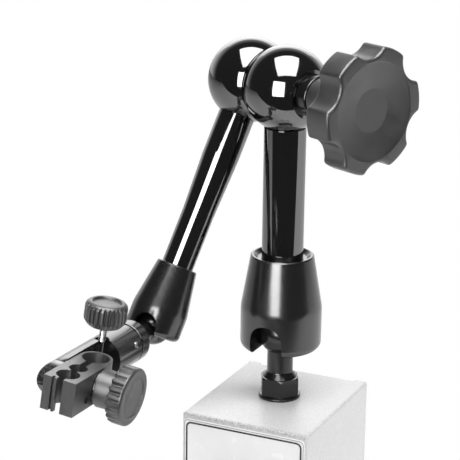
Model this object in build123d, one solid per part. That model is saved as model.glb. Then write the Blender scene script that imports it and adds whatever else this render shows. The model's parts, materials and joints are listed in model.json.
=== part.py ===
from build123d import *
from math import cos, pi, radians, sin, sqrt, tan
import os

# Articulated indicator holder on a switchable magnetic base. Millimetres.
# Origin: centre of the base's footprint, on the plane that the base stands on.
# +Z up, -Y towards the switch and name plate, +X to the right of the switch.

# ---------------------------------------------------------------- driving dimensions
BASE_WIDTH = 50.0
BASE_DEPTH = 60.0
BASE_HEIGHT = 55.0
STUD_Y = 2.0  # the stud stands a little behind the middle of the base
FIT = 0.02  # radial gap of a pushed or screwed joint between two pieces
RUNNING = 0.05  # radial gap of a piece that turns or slides in another

SPACER_WIDTH = 3.0
GROOVE_HALF_WIDTH = 9.0
GROOVE_DEPTH = 6.5
REAR_RECESS_WIDTH = 40.0
REAR_RECESS_DEPTH = 1.5
EDGE_CHAMFER = 0.7
STUD_SPIGOT_R = 4.0
STUD_SPIGOT_DEPTH = 10.0

ROTOR_Z = 24.0
ROTOR_R = 14.0
ROTOR_PLAY = 0.3
ROTOR_BACK = -19.0  # heights along the switch's axis, from the middle of the base
ROTOR_FRONT = 25.0
BEARING_BACK = 25.5
SHAFT_R = 4.0
SHAFT_END = 38.0
DETENT_RING_R = 9.5
DETENT_AT = 26.2
DETENT_BALL_R = 1.5
STOP_RING_R = 10.0
STOP_PIN_R = 1.25
PLATE_THICKNESS = 0.6
PLATE_SIDE_MARGIN = 0.8
PLATE_MARGIN = 1.9  # at the plate's top and bottom
SWITCH_KNOB_R = 11.0
SWITCH_KNOB_DEPTH = 13.0
SWITCH_SCREW_R = 1.25

LOWER_BALL_HEIGHT = 25.6  # ball centre above the base's top
LOWER_BALL_R = 8.5
LOWER_BALL_FLAT = -6.93  # where the ball ends on its neck
LOWER_NECK_R = 4.9
BALL_SPIGOT_R = 3.0  # of the stud, inside the lower ball
HEX_FLATS = 13.6
HEX_TURN = 27.0
FLANGE_R = 8.0
COLUMN_LENGTH = 93.4  # lower ball centre to elbow ball centre
COLUMN_TUBE_R = 7.75
COLUMN_BORE_R = 4.6
LOWER_ROD_R = 3.0
LOWER_SOCKET_R = 15.2
LOWER_RIM = 30.7  # heights along the socket's axis, from the ball's centre
LOWER_TUBE_END = 16.0
LOWER_SEAT_R = 7.0

ELBOW_BALL_R = 15.8
ELBOW_OFFSET = 19.2  # between the two elbow balls, along the tie bolt
ELBOW_GAP = 0.4  # between the two flat mating faces
KNOB_AZIMUTH = -23.8  # of the tie bolt, from +X, degrees
ARM_ANGLE = 27.94  # between column and arm, degrees
ARM_LENGTH = 97.83  # elbow ball centre to upper ball centre
BOLT_R = 4.0
BOLT_HEAD_R = 6.0
COLLAR_R = 7.7
TAPER_ANGLE = 30.0
TAPER_HALF = 3.4  # half the taper's length
TAPER_MIDDLE_R = 6.2

STAR_KNOB_R = 22.6
STAR_KNOB_FRONT = 45.1  # front face, from the front elbow ball's centre
STAR_KNOB_THICKNESS = 11.0
STAR_LOBES = 6
STAR_PHASE = 36.5  # of the first valley, degrees
VALLEY_R = 0.365  # of the knob's radius
VALLEY_CENTRE = 1.2  # of the knob's radius
DISH_SHARE = 0.77  # of the knob's radius
DISH_DEPTH = 1.7
DISH_FLOOR_R = 7.8
INSERT_R = 5.6

UPPER_BALL_R = 6.5
UPPER_NECK_R = 3.5
ARM_TUBE_R = 6.75
ARM_TUBE_END_R = 5.9
ARM_TAPER_FROM = 30.6  # from the rear elbow ball's centre
ARM_TAPER_TO = 52.7
ARM_BORE_R = 4.2
UPPER_ROD_R = 2.6
UPPER_SOCKET_R = 10.55
UPPER_RIM = 24.1
UPPER_TUBE_END = 12.0
UPPER_SEAT_R = 5.2

HEAD_AZIMUTH = -88.7  # of the head's length, from +X, degrees
HEAD_PITCH = 2.8
HEAD_ROLL = 7.4
HEAD_R = 7.6
SPIGOT_R = 2.2  # of the head's neck, inside the upper ball
COLLAR_START = 17.5
COLLAR_END = 23.4
LEVER_START = 24.2
LEVER_STEP = 41.4  # beyond this only the rear half of the lever is left
PIVOT_X = 28.4
PIVOT_Z = 3.0
PIVOT_R = 1.2
TONGUE_END = 45.6
TONGUE_LOW_Y, TONGUE_HIGH_Y = -4.7, -0.95  # the tongue lies in the rear half of the lever
TONGUE_TOP, TONGUE_BOTTOM = 4.7, -3.0
TIP_SEAT_Z = 2.4  # the tongue's top under the adjusting screw
LEVER_PLAY = 0.9
SPRING_Y = -2.8
FINE_X = 42.2  # the adjusting screw's axis
FINE_Y = -0.2
FINE_SCREW_R = 1.3
FINE_PIN_TOP = 6.6  # top of the pin that stands between the screw and the tongue
FINE_KNOB_R = 7.45
FINE_KNOB_LOW, FINE_KNOB_HIGH = 12.7, 21.3
FINE_RIBS = 26
CLAMP_X = 65.5  # the clamp screw's axis
CLAMP_Z = 0.6
CLAMP_SCREW_R = 2.0
CLAMP_KNOB_R = 10.0
CLAMP_HUB_R = 6.7
CLAMP_INSERT_R = 3.4
CLAMP_RIBS = 22
LEVER_END = CLAMP_X + HEAD_R

BLOCK_WIDTH = 12.0
BLOCK_HEIGHT = 12.0
BLOCK_Z = 1.2
BLOCK_NEAR = 0.15  # gap between the block and the lever's flat
BLOCK_MIDDLE = BLOCK_NEAR + BLOCK_WIDTH / 2
BLOCK_FRONT = 83.6
BACK_WALL = 1.0  # behind the largest stem hole
LARGE_STEM_X, LARGE_STEM_R = 58.6, 4.7625  # 3/8 inch indicator stem
SMALL_STEM_X, SMALL_STEM_R = 70.9, 3.175  # 1/4 inch stem
METRIC_STEM_X, METRIC_STEM_R = 78.1, 4.0  # 8 mm stem
SLIT = 2.4
DOVETAIL_GROOVE = 0.9
DOVETAIL_LIP = 0.9
DOVETAIL_DEPTH = 1.4


# ---------------------------------------------------------------- places
def direction(azimuth, pitch=0.0):
    """Unit vector at these angles, in degrees, from +X and from the horizontal."""
    across = cos(radians(pitch))
    return Vector(cos(radians(azimuth)) * across, sin(radians(azimuth)) * across, sin(radians(pitch)))


UP = Vector(0, 0, 1)
LOWER_BALL = Vector(0, STUD_Y, BASE_HEIGHT + LOWER_BALL_HEIGHT)
ELBOW_FRONT = LOWER_BALL + UP * COLUMN_LENGTH
BOLT_AXIS = direction(KNOB_AZIMUTH)
SWING = BOLT_AXIS.cross(UP)
ELBOW_REAR = ELBOW_FRONT - BOLT_AXIS * ELBOW_OFFSET
ARM_AXIS = SWING * sin(radians(ARM_ANGLE)) - UP * cos(radians(ARM_ANGLE))
UPPER_BALL = ELBOW_REAR + ARM_AXIS * ARM_LENGTH
HEAD_AXIS = direction(HEAD_AZIMUTH, HEAD_PITCH)
LEVEL = UP.cross(HEAD_AXIS).normalized()
HEAD_SIDE = (LEVEL * cos(radians(HEAD_ROLL)) - HEAD_AXIS.cross(LEVEL) * sin(radians(HEAD_ROLL)))
HEAD_UP = HEAD_AXIS.cross(HEAD_SIDE)
SLOT_AXIS = (HEAD_AXIS - ARM_AXIS * HEAD_AXIS.dot(ARM_AXIS)).normalized()

column_place = Plane(origin=LOWER_BALL, x_dir=(1, 0, 0), z_dir=UP)
front_place = Plane(origin=ELBOW_FRONT, x_dir=SWING, z_dir=BOLT_AXIS)
rear_place = Plane(origin=ELBOW_REAR, x_dir=SWING, z_dir=BOLT_AXIS)
arm_place = Plane(origin=ELBOW_REAR, x_dir=BOLT_AXIS, z_dir=ARM_AXIS)
# The upper socket opens towards the head: its slot runs along local -Y, its tube along local +Z.
socket_place = Plane(origin=UPPER_BALL, x_dir=SLOT_AXIS.cross(ARM_AXIS), z_dir=-ARM_AXIS)
# The head's length is local X, its clamp knob is on local +Y and its adjusting knob on local +Z.
head_place = Plane(origin=UPPER_BALL, x_dir=HEAD_AXIS, z_dir=HEAD_UP)
switch_place = Plane(origin=(0, 0, ROTOR_Z), x_dir=(1, 0, 0), z_dir=(0, -1, 0))


# ---------------------------------------------------------------- shape helpers
def rod(radius, low, high):
    """Cylinder on local Z between two heights."""
    return Pos(0, 0, low) * Cylinder(radius, high - low, align=(Align.CENTER, Align.CENTER, Align.MIN))


def cone(low_radius, high_radius, low, high):
    """Truncated cone on local Z between two heights."""
    return Pos(0, 0, low) * Cone(
        low_radius, high_radius, high - low, align=(Align.CENTER, Align.CENTER, Align.MIN)
    )


def block(low, high):
    """Box between two corners."""
    size = [b - a for a, b in zip(low, high)]
    return Pos(*low) * Box(*size, align=(Align.MIN, Align.MIN, Align.MIN))


def turned(outline):
    """Solid of revolution on local Z from (radius, height) points."""
    face = make_face(Polyline([(r, 0, z) for r, z in outline], close=True))
    return revolve(face, Axis.Z)


def along_x(shape):
    """Turns a shape made on Z so that it lies on X."""
    return Rot(0, 90, 0) * shape


def along_y(shape):
    """Turns a shape made on Z so that it lies on Y."""
    return Rot(-90, 0, 0) * shape


def placed(plane, shape):
    return plane.location * shape


def ribbed(radius, low, high, count, depth):
    """Knob rim with round flutes all round it."""
    pitch = 2 * pi * radius / count
    flute = rod(pitch * 0.26, low - 1, high + 1)
    return rod(radius, low, high) - PolarLocations(radius + pitch * 0.26 - depth, count) * flute


# ---------------------------------------------------------------- magnetic base
def base_outline():
    """The whole base as one block, before it is divided into poles and spacer."""
    half_width, half_depth = BASE_WIDTH / 2, BASE_DEPTH / 2
    body = block((-half_width, -half_depth, 0), (half_width, half_depth, BASE_HEIGHT))
    upper_edges = body.edges().filter_by(lambda e: e.center().Z > 1)
    body = chamfer(upper_edges, EDGE_CHAMFER)
    roof = SPACER_WIDTH / 2
    groove = Polyline(
        (-GROOVE_HALF_WIDTH, 0, 0),
        (-roof, 0, GROOVE_DEPTH),
        (roof, 0, GROOVE_DEPTH),
        (GROOVE_HALF_WIDTH, 0, 0),
        close=True,
    )
    body -= extrude(make_face(groove), BASE_DEPTH, both=True)
    recess_half = REAR_RECESS_WIDTH / 2
    recess_floor = half_depth - REAR_RECESS_DEPTH
    body -= block((-recess_half, recess_floor, -1), (recess_half, half_depth + 1, BASE_HEIGHT + 1))
    body -= placed(switch_place, rod(ROTOR_R + ROTOR_PLAY, ROTOR_BACK - 1, half_depth + 1))
    stud_hole = rod(STUD_SPIGOT_R + FIT, BASE_HEIGHT - STUD_SPIGOT_DEPTH - 1, BASE_HEIGHT + 1)
    return body - Pos(0, STUD_Y, 0) * stud_hole


def base_pieces():
    whole = base_outline()
    far = BASE_WIDTH
    seam = SPACER_WIDTH / 2
    spacer = whole & block((-seam, -far, -1), (seam, far, far + 20))
    left = whole & block((-far, -far, -1), (-seam, far, far + 20))
    right = whole & block((seam, -far, -1), (far, far, far + 20))
    return left, right, spacer


def front_plate():
    """Name plate on the front, with a hole for the switch shaft."""
    half = BASE_WIDTH / 2 - PLATE_SIDE_MARGIN
    front = -BASE_DEPTH / 2
    low, high = PLATE_MARGIN, BASE_HEIGHT - PLATE_MARGIN
    sheet = block((-half, front - PLATE_THICKNESS, low), (half, front, high))
    sheet = fillet(sheet.edges().filter_by(Axis.Y), 1.6)
    return sheet - placed(switch_place, rod(SHAFT_R + 0.6, BASE_DEPTH / 2 - 1, BASE_DEPTH / 2 + 2))


def rotor_bearing():
    """Plug in the bore's mouth that carries the shaft, with pockets for the detent and the stop pin."""
    front = BASE_DEPTH / 2
    pocket_end = front - 1.2
    plug = rod(ROTOR_R + ROTOR_PLAY - FIT, BEARING_BACK, front)
    plug -= rod(SHAFT_R + RUNNING, 0, front + 1)
    plug -= Pos(DETENT_RING_R, 0, 0) * rod(DETENT_BALL_R + 0.1, 0, pocket_end)
    plug -= Pos(0, -STOP_RING_R, 0) * rod(STOP_PIN_R + FIT, 0, pocket_end)
    return placed(switch_place, plug)


def detent_ball():
    return placed(switch_place, Pos(DETENT_RING_R, 0, DETENT_AT) * Sphere(DETENT_BALL_R))


def detent_spring():
    """Coil behind the detent ball."""
    coil_path = Helix(pitch=0.35, height=0.7, radius=DETENT_BALL_R - 0.45)
    wire = sweep(Plane(origin=coil_path @ 0, z_dir=coil_path % 0) * Circle(0.14), path=coil_path)
    return placed(switch_place, Pos(DETENT_RING_R, 0, DETENT_AT + DETENT_BALL_R + 0.15) * wire)


def stop_pin():
    pin = rod(STOP_PIN_R, ROTOR_FRONT - 1, BASE_DEPTH / 2 - 1.3)
    return placed(switch_place, Pos(0, -STOP_RING_R, 0) * pin)


def rotor_magnet():
    """Magnet drum with the detent ball's ring groove and the arc that meets the stop pin."""
    drum = rod(ROTOR_R, ROTOR_BACK, ROTOR_FRONT)
    drum -= rod(SHAFT_R + FIT, ROTOR_BACK - 1, ROTOR_FRONT + 1)
    drum -= Pos(0, 0, DETENT_AT) * Torus(DETENT_RING_R, DETENT_BALL_R + 0.1)
    arc = rod(STOP_RING_R + 1.5, ROTOR_FRONT - 1.4, ROTOR_FRONT + 1)
    arc -= rod(STOP_RING_R - 1.5, ROTOR_FRONT - 2, ROTOR_FRONT + 2)
    corner = 30
    play = corner * 0.17
    quarter = Polyline((0, 0), (play, -corner), (-corner, -corner), (-corner, play), close=True)
    sector = extrude(make_face(quarter), 2 * corner)
    return placed(switch_place, drum - (arc & sector))


def rotor_shaft():
    shaft = rod(SHAFT_R, ROTOR_BACK + 1, SHAFT_END)
    return placed(switch_place, shaft - rod(SWITCH_SCREW_R + FIT, BASE_DEPTH / 2, SHAFT_END + 1))


SWITCH_FACE = BASE_DEPTH / 2 + PLATE_THICKNESS + 0.5
SWITCH_TOP = SWITCH_FACE + SWITCH_KNOB_DEPTH


def switch_knob():
    """Round knob with a raised grip bar and a pointer notch."""
    skirt_top = SWITCH_FACE + 4.5
    skirt = cone(SWITCH_KNOB_R, SWITCH_KNOB_R - 0.8, SWITCH_FACE, skirt_top)
    skirt = fillet(skirt.edges().group_by(Axis.Z)[-1], 0.8)
    bar_end = SWITCH_KNOB_R - 0.4
    bar = block((-3.6, -bar_end, SWITCH_FACE + 1), (3.6, bar_end, SWITCH_TOP))
    bar &= rod(SWITCH_KNOB_R - 0.6, SWITCH_FACE, SWITCH_TOP)
    bar = fillet(bar.edges().group_by(Axis.Z)[-1], 1.0)
    notch = block((-0.6, SWITCH_KNOB_R - 5, SWITCH_TOP - 0.6), (0.6, SWITCH_KNOB_R, SWITCH_TOP + 1))
    knob = skirt + bar - notch
    knob -= rod(SHAFT_R + FIT, SWITCH_FACE - 1, SHAFT_END + 0.1)
    knob -= rod(SWITCH_SCREW_R + 0.25, SWITCH_FACE, SWITCH_TOP + 1)
    knob -= rod(2.9, SWITCH_TOP - 2.2, SWITCH_TOP + 1)
    return placed(switch_place, knob)


def switch_screw():
    screw = rod(SWITCH_SCREW_R, BASE_DEPTH / 2 + 1, SWITCH_TOP - 2)
    screw += rod(2.7, SWITCH_TOP - 2.18, SWITCH_TOP - 0.6)
    slot = block((-0.35, -4, SWITCH_TOP - 1.2), (0.35, 4, SWITCH_TOP))
    return placed(switch_place, screw - slot)


def base_stud():
    """Flanged hexagon with a neck; its spigot carries the ball."""
    floor = -LOWER_BALL_HEIGHT
    flange_top, hex_top = floor + 1.2, floor + 8.2
    six_sides = RegularPolygon(HEX_FLATS / 2, 6, major_radius=False)
    hexagon = Rot(0, 0, HEX_TURN) * extrude(Pos(0, 0, floor) * six_sides, hex_top - floor)
    corner = HEX_FLATS / 2 / cos(pi / 6)
    hexagon &= cone(corner + 6.2, corner - 0.8, floor, hex_top)
    stud = rod(FLANGE_R, floor, flange_top) + hexagon
    stud += cone(LOWER_NECK_R + 1.4, LOWER_NECK_R, hex_top, hex_top + 1.9)
    stud += rod(LOWER_NECK_R, hex_top, LOWER_BALL_FLAT - 0.05)
    stud += rod(BALL_SPIGOT_R, LOWER_BALL_FLAT - 1, 1.5)
    stud += rod(STUD_SPIGOT_R, floor - STUD_SPIGOT_DEPTH, floor)
    return placed(column_place, stud)


def lower_ball():
    reach = 2 * LOWER_BALL_R
    ball = Sphere(LOWER_BALL_R) & block((-reach, -reach, LOWER_BALL_FLAT), (reach, reach, reach))
    return placed(column_place, ball - rod(BALL_SPIGOT_R + RUNNING, -reach, 1.6))


# ---------------------------------------------------------------- ball sockets
def bell_outline(bottom, corner, wide, shoulder, rim_r, rim):
    """Outer profile of a bell, with a rounded lower edge and a broken upper one."""
    round_steps = 6
    edge = 0.4
    points = [(0, bottom)]
    for i in range(round_steps + 1):
        turn = radians(-90 + 90 * i / round_steps)
        points.append((wide - corner + corner * cos(turn), bottom + corner + corner * sin(turn)))
    points += [(wide, shoulder), (rim_r, rim - edge), (rim_r - edge, rim), (0, rim)]
    return points


def socket(ball_r, outer, slot_half, tube_r, seat_r, tube_end):
    """Bell over a ball: cavity from below, tube from above, slot along -Y that lets the neck swing out."""
    bell = turned(outer)
    rim_r, rim = outer[-2]
    bell -= Sphere(ball_r + 0.1)
    bell -= rod(seat_r + RUNNING, 0, tube_end)
    bell -= rod(tube_r + FIT, tube_end, rim + 1)
    # shallow dish inside the rim, which leaves a thin lip
    lip, dish = 0.7, 1.3
    dish_r = rim_r - lip
    bell -= cone((tube_r + dish_r) / 2, dish_r, rim - dish, rim) + rod(dish_r, rim, rim + 1)
    reach = 30
    slot = along_y(rod(slot_half, -reach, 0)) + block((-slot_half, -reach, -reach), (slot_half, 0, 0))
    return bell - slot


LOWER_PIN_R, LOWER_PIN_AT = 1.2, LOWER_RIM - 6
UPPER_PIN_R, UPPER_PIN_AT = 0.9, UPPER_RIM - 4


def lower_socket():
    outline = bell_outline(-5.7, 3.0, LOWER_SOCKET_R, 10.6, 11.8, LOWER_RIM)
    bell = socket(LOWER_BALL_R, outline, 6.4, COLUMN_TUBE_R, LOWER_SEAT_R, LOWER_TUBE_END)
    pin_hole = Pos(0, 0, LOWER_PIN_AT) * along_y(rod(LOWER_PIN_R + FIT, 0, 2 * LOWER_SOCKET_R))
    return placed(column_place, bell - pin_hole)


def lower_socket_pin():
    pin = Pos(0, 0, LOWER_PIN_AT) * along_y(rod(LOWER_PIN_R, COLUMN_TUBE_R + 0.1, 12.2))
    return placed(column_place, pin)


def upper_socket():
    outline = bell_outline(-2.6, 3.0, UPPER_SOCKET_R, 7.0, 7.6, UPPER_RIM)
    bell = socket(UPPER_BALL_R, outline, 4.4, ARM_TUBE_END_R, UPPER_SEAT_R, UPPER_TUBE_END)
    pin_hole = along_x(rod(UPPER_PIN_R + FIT, 0, 2 * UPPER_SOCKET_R))
    return placed(socket_place, bell - Pos(0, 0, UPPER_PIN_AT) * Rot(0, 0, 60) * pin_hole)


def upper_socket_pin():
    pin = along_x(rod(UPPER_PIN_R, ARM_TUBE_END_R + 0.1, 8.0))
    return placed(socket_place, Pos(0, 0, UPPER_PIN_AT) * Rot(0, 0, 60) * pin)


# ---------------------------------------------------------------- column
def column_tube():
    low, high = LOWER_TUBE_END + 0.1, COLUMN_LENGTH - ELBOW_BALL_R - 0.3
    tube = rod(COLUMN_TUBE_R, low, high)
    tube = chamfer(tube.edges().filter_by(GeomType.CIRCLE), 0.4)
    return placed(column_place, tube - rod(COLUMN_BORE_R, 0, COLUMN_LENGTH))


def lower_push_rod():
    """Rod that the taper pushes down; its upper end is cut to the taper's slope."""
    bar = placed(column_place, rod(LOWER_ROD_R, 12.2, COLUMN_LENGTH))
    return bar - placed(front_place, taper_space(0.1))


def lower_ball_seat():
    seat = rod(LOWER_SEAT_R, 3.6, 12.1) - Sphere(LOWER_BALL_R + RUNNING)
    return placed(column_place, seat)


# ---------------------------------------------------------------- elbow
TAPER_RISE = TAPER_HALF * tan(radians(TAPER_ANGLE))
TAPER_WIDE_R = TAPER_MIDDLE_R + TAPER_RISE
TAPER_NARROW_R = TAPER_MIDDLE_R - TAPER_RISE
CAVITY_R = TAPER_WIDE_R + 0.25
MATE = (ELBOW_OFFSET - ELBOW_GAP) / 2  # from each ball's centre to its flat
SPOT_R = 9.0  # flat under the thrust collar
SPOT_AT = sqrt(ELBOW_BALL_R**2 - SPOT_R**2)


def taper_shape(gap):
    """Cone that is widest away from the knob, with this much added to its radius."""
    return cone(TAPER_WIDE_R + gap, TAPER_NARROW_R + gap, -TAPER_HALF, TAPER_HALF)


def taper_space(gap):
    """The taper and what lies beside it, as a tool for cutting the rods' ends."""
    behind = rod(TAPER_WIDE_R + gap, -9, -TAPER_HALF)
    ahead = rod(TAPER_NARROW_R + gap, TAPER_HALF, 30)
    return taper_shape(gap) + behind + ahead


def knuckle(low, high):
    """Elbow ball between two heights along the bolt, with a bolt hole."""
    reach = 2 * ELBOW_BALL_R
    ball = Sphere(ELBOW_BALL_R) & block((-reach, -reach, low), (reach, reach, high))
    ball = chamfer(ball.edges().filter_by(GeomType.CIRCLE), 0.5)
    return ball - rod(BOLT_R + RUNNING + 0.05, -reach, reach)


def lower_knuckle():
    """Front ball with its neck in the column's tube."""
    ball = knuckle(-MATE, 2 * ELBOW_BALL_R)
    ball -= rod(CAVITY_R, -MATE - 1, TAPER_HALF + 0.6)
    ball -= rod(SPOT_R, SPOT_AT, 30)
    ball = placed(front_place, ball)
    downwards = Plane(origin=ELBOW_FRONT, x_dir=(1, 0, 0), z_dir=-UP)
    ball += placed(downwards, rod(COLUMN_BORE_R - FIT, 11, 27))
    return ball - placed(downwards, rod(LOWER_ROD_R + RUNNING, 0, 30))


def upper_knuckle():
    """Rear ball with its neck in the arm's tube and a seat for the bolt's head."""
    ball = knuckle(-2 * ELBOW_BALL_R, MATE)
    ball -= rod(CAVITY_R, -TAPER_HALF - 1.1, MATE + 1)
    ball -= rod(BOLT_HEAD_R + 0.4, -30, -7.6)
    ball = placed(rear_place, ball)
    ball += placed(arm_place, rod(ARM_BORE_R - FIT, 11, 26))
    return ball - placed(arm_place, rod(UPPER_ROD_R + RUNNING, 0, 30))


def elbow_washer():
    """Thin ring between the two flat faces."""
    thickness = ELBOW_GAP - 0.06
    middle = -MATE - ELBOW_GAP / 2
    ring = rod(11.0, middle - thickness / 2, middle + thickness / 2)
    return placed(front_place, ring - rod(CAVITY_R + 0.2, -30, 30))


def lower_taper():
    return placed(front_place, taper_shape(0) - rod(BOLT_R + FIT, -30, 30))


def upper_taper():
    return placed(rear_place, taper_shape(0) - rod(BOLT_R + FIT, -30, 30))


def tie_bolt():
    """Bolt through both balls: socket head behind, thread in the knob."""
    head_low, head_high = -ELBOW_OFFSET - 12.6, -ELBOW_OFFSET - 8.5
    bolt = rod(BOLT_R, head_high, 39.0) + rod(BOLT_HEAD_R, head_low, head_high)
    bolt = chamfer(bolt.edges().group_by(Axis.Z)[0], 0.5)
    key = extrude(Pos(0, 0, head_low) * RegularPolygon(2.5, 6, major_radius=False), 3)
    return placed(front_place, bolt - key)


def thrust_collar():
    collar = rod(COLLAR_R, SPOT_AT + FIT, 17.9) - rod(BOLT_R + RUNNING, 0, 30)
    outer = collar.edges().filter_by(GeomType.CIRCLE).sort_by(SortBy.RADIUS)[-2:]
    return placed(front_place, chamfer(outer, 0.6))


# ---------------------------------------------------------------- star knob
def star_body(back, front):
    """Thick disc with shallow round valleys between its lobes."""
    body = rod(STAR_KNOB_R, back, front)
    valleys = PolarLocations(VALLEY_CENTRE * STAR_KNOB_R, STAR_LOBES, start_angle=STAR_PHASE)
    body -= valleys * rod(VALLEY_R * STAR_KNOB_R, back - 1, front + 1)
    crests = [e for e in body.edges().filter_by(Axis.Z) if e.center().Z > back]
    body = fillet(crests, 1.4)
    return fillet(body.edges().group_by(Axis.Z)[-1] + body.edges().group_by(Axis.Z)[0], 0.9)


def star_knob():
    """Lobed knob with a hub, a dished face and a flat middle. Local Y is up across its axis."""
    front = STAR_KNOB_FRONT
    back = front - STAR_KNOB_THICKNESS
    dish_r = DISH_SHARE * STAR_KNOB_R
    dish = turned([
        (0, front - DISH_DEPTH),
        (DISH_FLOOR_R, front - DISH_DEPTH),
        (dish_r, front - 0.3),
        (dish_r + 0.4, front),
        (dish_r + 0.4, front + 1),
        (0, front + 1),
    ])
    knob = star_body(back, front) - dish
    knob += cone(7.1, 7.9, 18.0, back + 0.5)
    knob -= rod(INSERT_R + FIT, 17, 41.2)
    upright = Plane(origin=ELBOW_FRONT, x_dir=UP.cross(BOLT_AXIS), z_dir=BOLT_AXIS)
    return placed(upright, knob)


def knob_insert():
    insert = rod(INSERT_R, 18.05, 41.0) - rod(BOLT_R + FIT, 0, 39.6)
    return placed(front_place, insert)


# ---------------------------------------------------------------- arm
def arm_tube():
    """Tube that tapers from the elbow towards the head, saddled onto the rear ball."""
    low, high = ELBOW_BALL_R - 1.85, ARM_LENGTH - UPPER_TUBE_END - 0.1
    outline = [
        (0, low),
        (ARM_TUBE_R, low),
        (ARM_TUBE_R, ARM_TAPER_FROM),
        (ARM_TUBE_END_R, ARM_TAPER_TO),
        (ARM_TUBE_END_R, high),
        (0, high),
    ]
    tube = turned(outline) - Sphere(ELBOW_BALL_R + 0.05)
    return placed(arm_place, tube - rod(ARM_BORE_R, 0, 40) - rod(3.4, 0, ARM_LENGTH))


def upper_push_rod():
    bar = placed(arm_place, rod(UPPER_ROD_R, 0, ARM_LENGTH - 9.2))
    return bar - placed(rear_place, taper_space(0.1))


def upper_ball_seat():
    seat = rod(UPPER_SEAT_R, 2.8, 9.1) - Sphere(UPPER_BALL_R + RUNNING)
    return placed(socket_place, seat)


# ---------------------------------------------------------------- head
NECK_FLAT = sqrt(UPPER_BALL_R**2 - UPPER_NECK_R**2)


def upper_ball():
    reach = 2 * UPPER_BALL_R
    ball = Sphere(UPPER_BALL_R) & block((-reach, -reach, -reach), (NECK_FLAT, reach, reach))
    return placed(head_place, ball - along_x(rod(SPIGOT_R + RUNNING, -1.6, reach)))


def head_stud():
    """Neck, collar and the tongue that the lever pivots on."""
    profile = [
        (0, NECK_FLAT + 0.05),
        (UPPER_NECK_R, NECK_FLAT + 0.05),
        (UPPER_NECK_R, COLLAR_START - 3.0),
        (HEAD_R - 1.8, COLLAR_START),
        (HEAD_R - 0.9, COLLAR_START),
        (HEAD_R, COLLAR_START + 0.9),
        (HEAD_R, COLLAR_END - 0.4),
        (HEAD_R - 0.4, COLLAR_END),
        (0, COLLAR_END),
    ]
    stud = along_x(turned(profile)) + along_x(rod(SPIGOT_R, -1.5, NECK_FLAT + 1))
    tongue = block(
        (COLLAR_END - 1, TONGUE_LOW_Y, TONGUE_BOTTOM),
        (TONGUE_END, TONGUE_HIGH_Y, TONGUE_TOP),
    )
    stud += tongue - block((FINE_X - 4, -20, TIP_SEAT_Z), (TONGUE_END + 1, 20, 20))
    stud -= Pos(PIVOT_X, 0, PIVOT_Z) * along_y(rod(PIVOT_R + RUNNING, -20, 20))
    return placed(head_place, stud)


CLAMP_HEAD_R = 3.5


def clamp_axis(shape):
    """Turns a shape made on Z onto the clamp screw's axis."""
    return Pos(CLAMP_X, 0, CLAMP_Z) * along_y(shape)


def lever_body():
    """Round body pivoted on the tongue; beyond a step only its rear half goes on to the clamp."""
    body = along_x(rod(HEAD_R, LEVER_START, LEVER_END))
    body = chamfer(body.edges().filter_by(GeomType.CIRCLE), 0.5)
    end_round = Pos(CLAMP_X, 0, 0) * along_y(rod(HEAD_R, -20, 20))
    body &= end_round + block((0, -20, -20), (CLAMP_X, 20, 20))
    body -= block((LEVER_STEP, 0, -20), (LEVER_END + 1, 20, 20))
    body -= block(
        (LEVER_START - 1, TONGUE_LOW_Y - 0.15, TONGUE_BOTTOM - LEVER_PLAY),
        (TONGUE_END + 0.8, TONGUE_HIGH_Y + 0.15, TONGUE_TOP + LEVER_PLAY * 0.6),
    )
    body -= Pos(FINE_X, FINE_Y, 0) * rod(FINE_SCREW_R + RUNNING, TIP_SEAT_Z - 1.2, 20)
    body -= Pos(FINE_X, FINE_Y, 0) * rod(2 * FINE_SCREW_R, HEAD_R - 1.4, 20)
    body -= Pos(FINE_X, SPRING_Y, 0) * rod(1.3, TONGUE_BOTTOM - 3.2, 0)
    body -= Pos(PIVOT_X, 0, PIVOT_Z) * along_y(rod(PIVOT_R + FIT, -6.0, 20))
    screw_hole = rod(CLAMP_SCREW_R + RUNNING, -20, 20) + rod(CLAMP_HEAD_R + 0.2, -20, -3.9)
    return placed(head_place, body - clamp_axis(screw_hole))


def hinge_pin():
    surface = sqrt(HEAD_R**2 - PIVOT_Z**2)
    pin = Pos(PIVOT_X, 0, PIVOT_Z) * along_y(rod(PIVOT_R, -5.9, surface - 0.25))
    return placed(head_place, pin)


def lever_spring():
    """Small coil under the tongue that takes up the play."""
    coil_path = Helix(pitch=0.55, height=1.5, radius=0.9)
    wire = sweep(Plane(origin=coil_path @ 0, z_dir=coil_path % 0) * Circle(0.16), path=coil_path)
    return placed(head_place, Pos(FINE_X, SPRING_Y, TONGUE_BOTTOM - 2.95) * wire)


def fine_tip():
    """Loose pin under the adjusting screw."""
    pin = Pos(FINE_X, FINE_Y, 0) * rod(FINE_SCREW_R - 0.1, TIP_SEAT_Z + 0.08, FINE_PIN_TOP)
    return placed(head_place, pin)


def fine_screw():
    shank = Pos(FINE_X, FINE_Y, 0) * rod(FINE_SCREW_R, FINE_PIN_TOP + RUNNING, FINE_KNOB_LOW + 3)
    return placed(head_place, shank)


def fine_knob():
    """Ribbed knob with a tapered foot, a rounded upper edge and a shallow dish."""
    low, high = FINE_KNOB_LOW, FINE_KNOB_HIGH
    knob = ribbed(FINE_KNOB_R, low, high, FINE_RIBS, 0.7)
    knob &= turned([
        (0, low),
        (FINE_KNOB_R - 1.6, low),
        (FINE_KNOB_R + 0.1, low + 2.2),
        (FINE_KNOB_R + 0.1, high - 1.7),
        (FINE_KNOB_R - 0.5, high - 0.6),
        (FINE_KNOB_R - 1.5, high),
        (0, high),
    ])
    knob -= cone(FINE_KNOB_R - 2.8, FINE_KNOB_R - 2.3, high - 0.8, high + 0.1)
    knob -= rod(FINE_SCREW_R + FIT, low - 1, low + 3.1)
    return placed(head_place, Pos(FINE_X, FINE_Y, 0) * knob)


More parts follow.
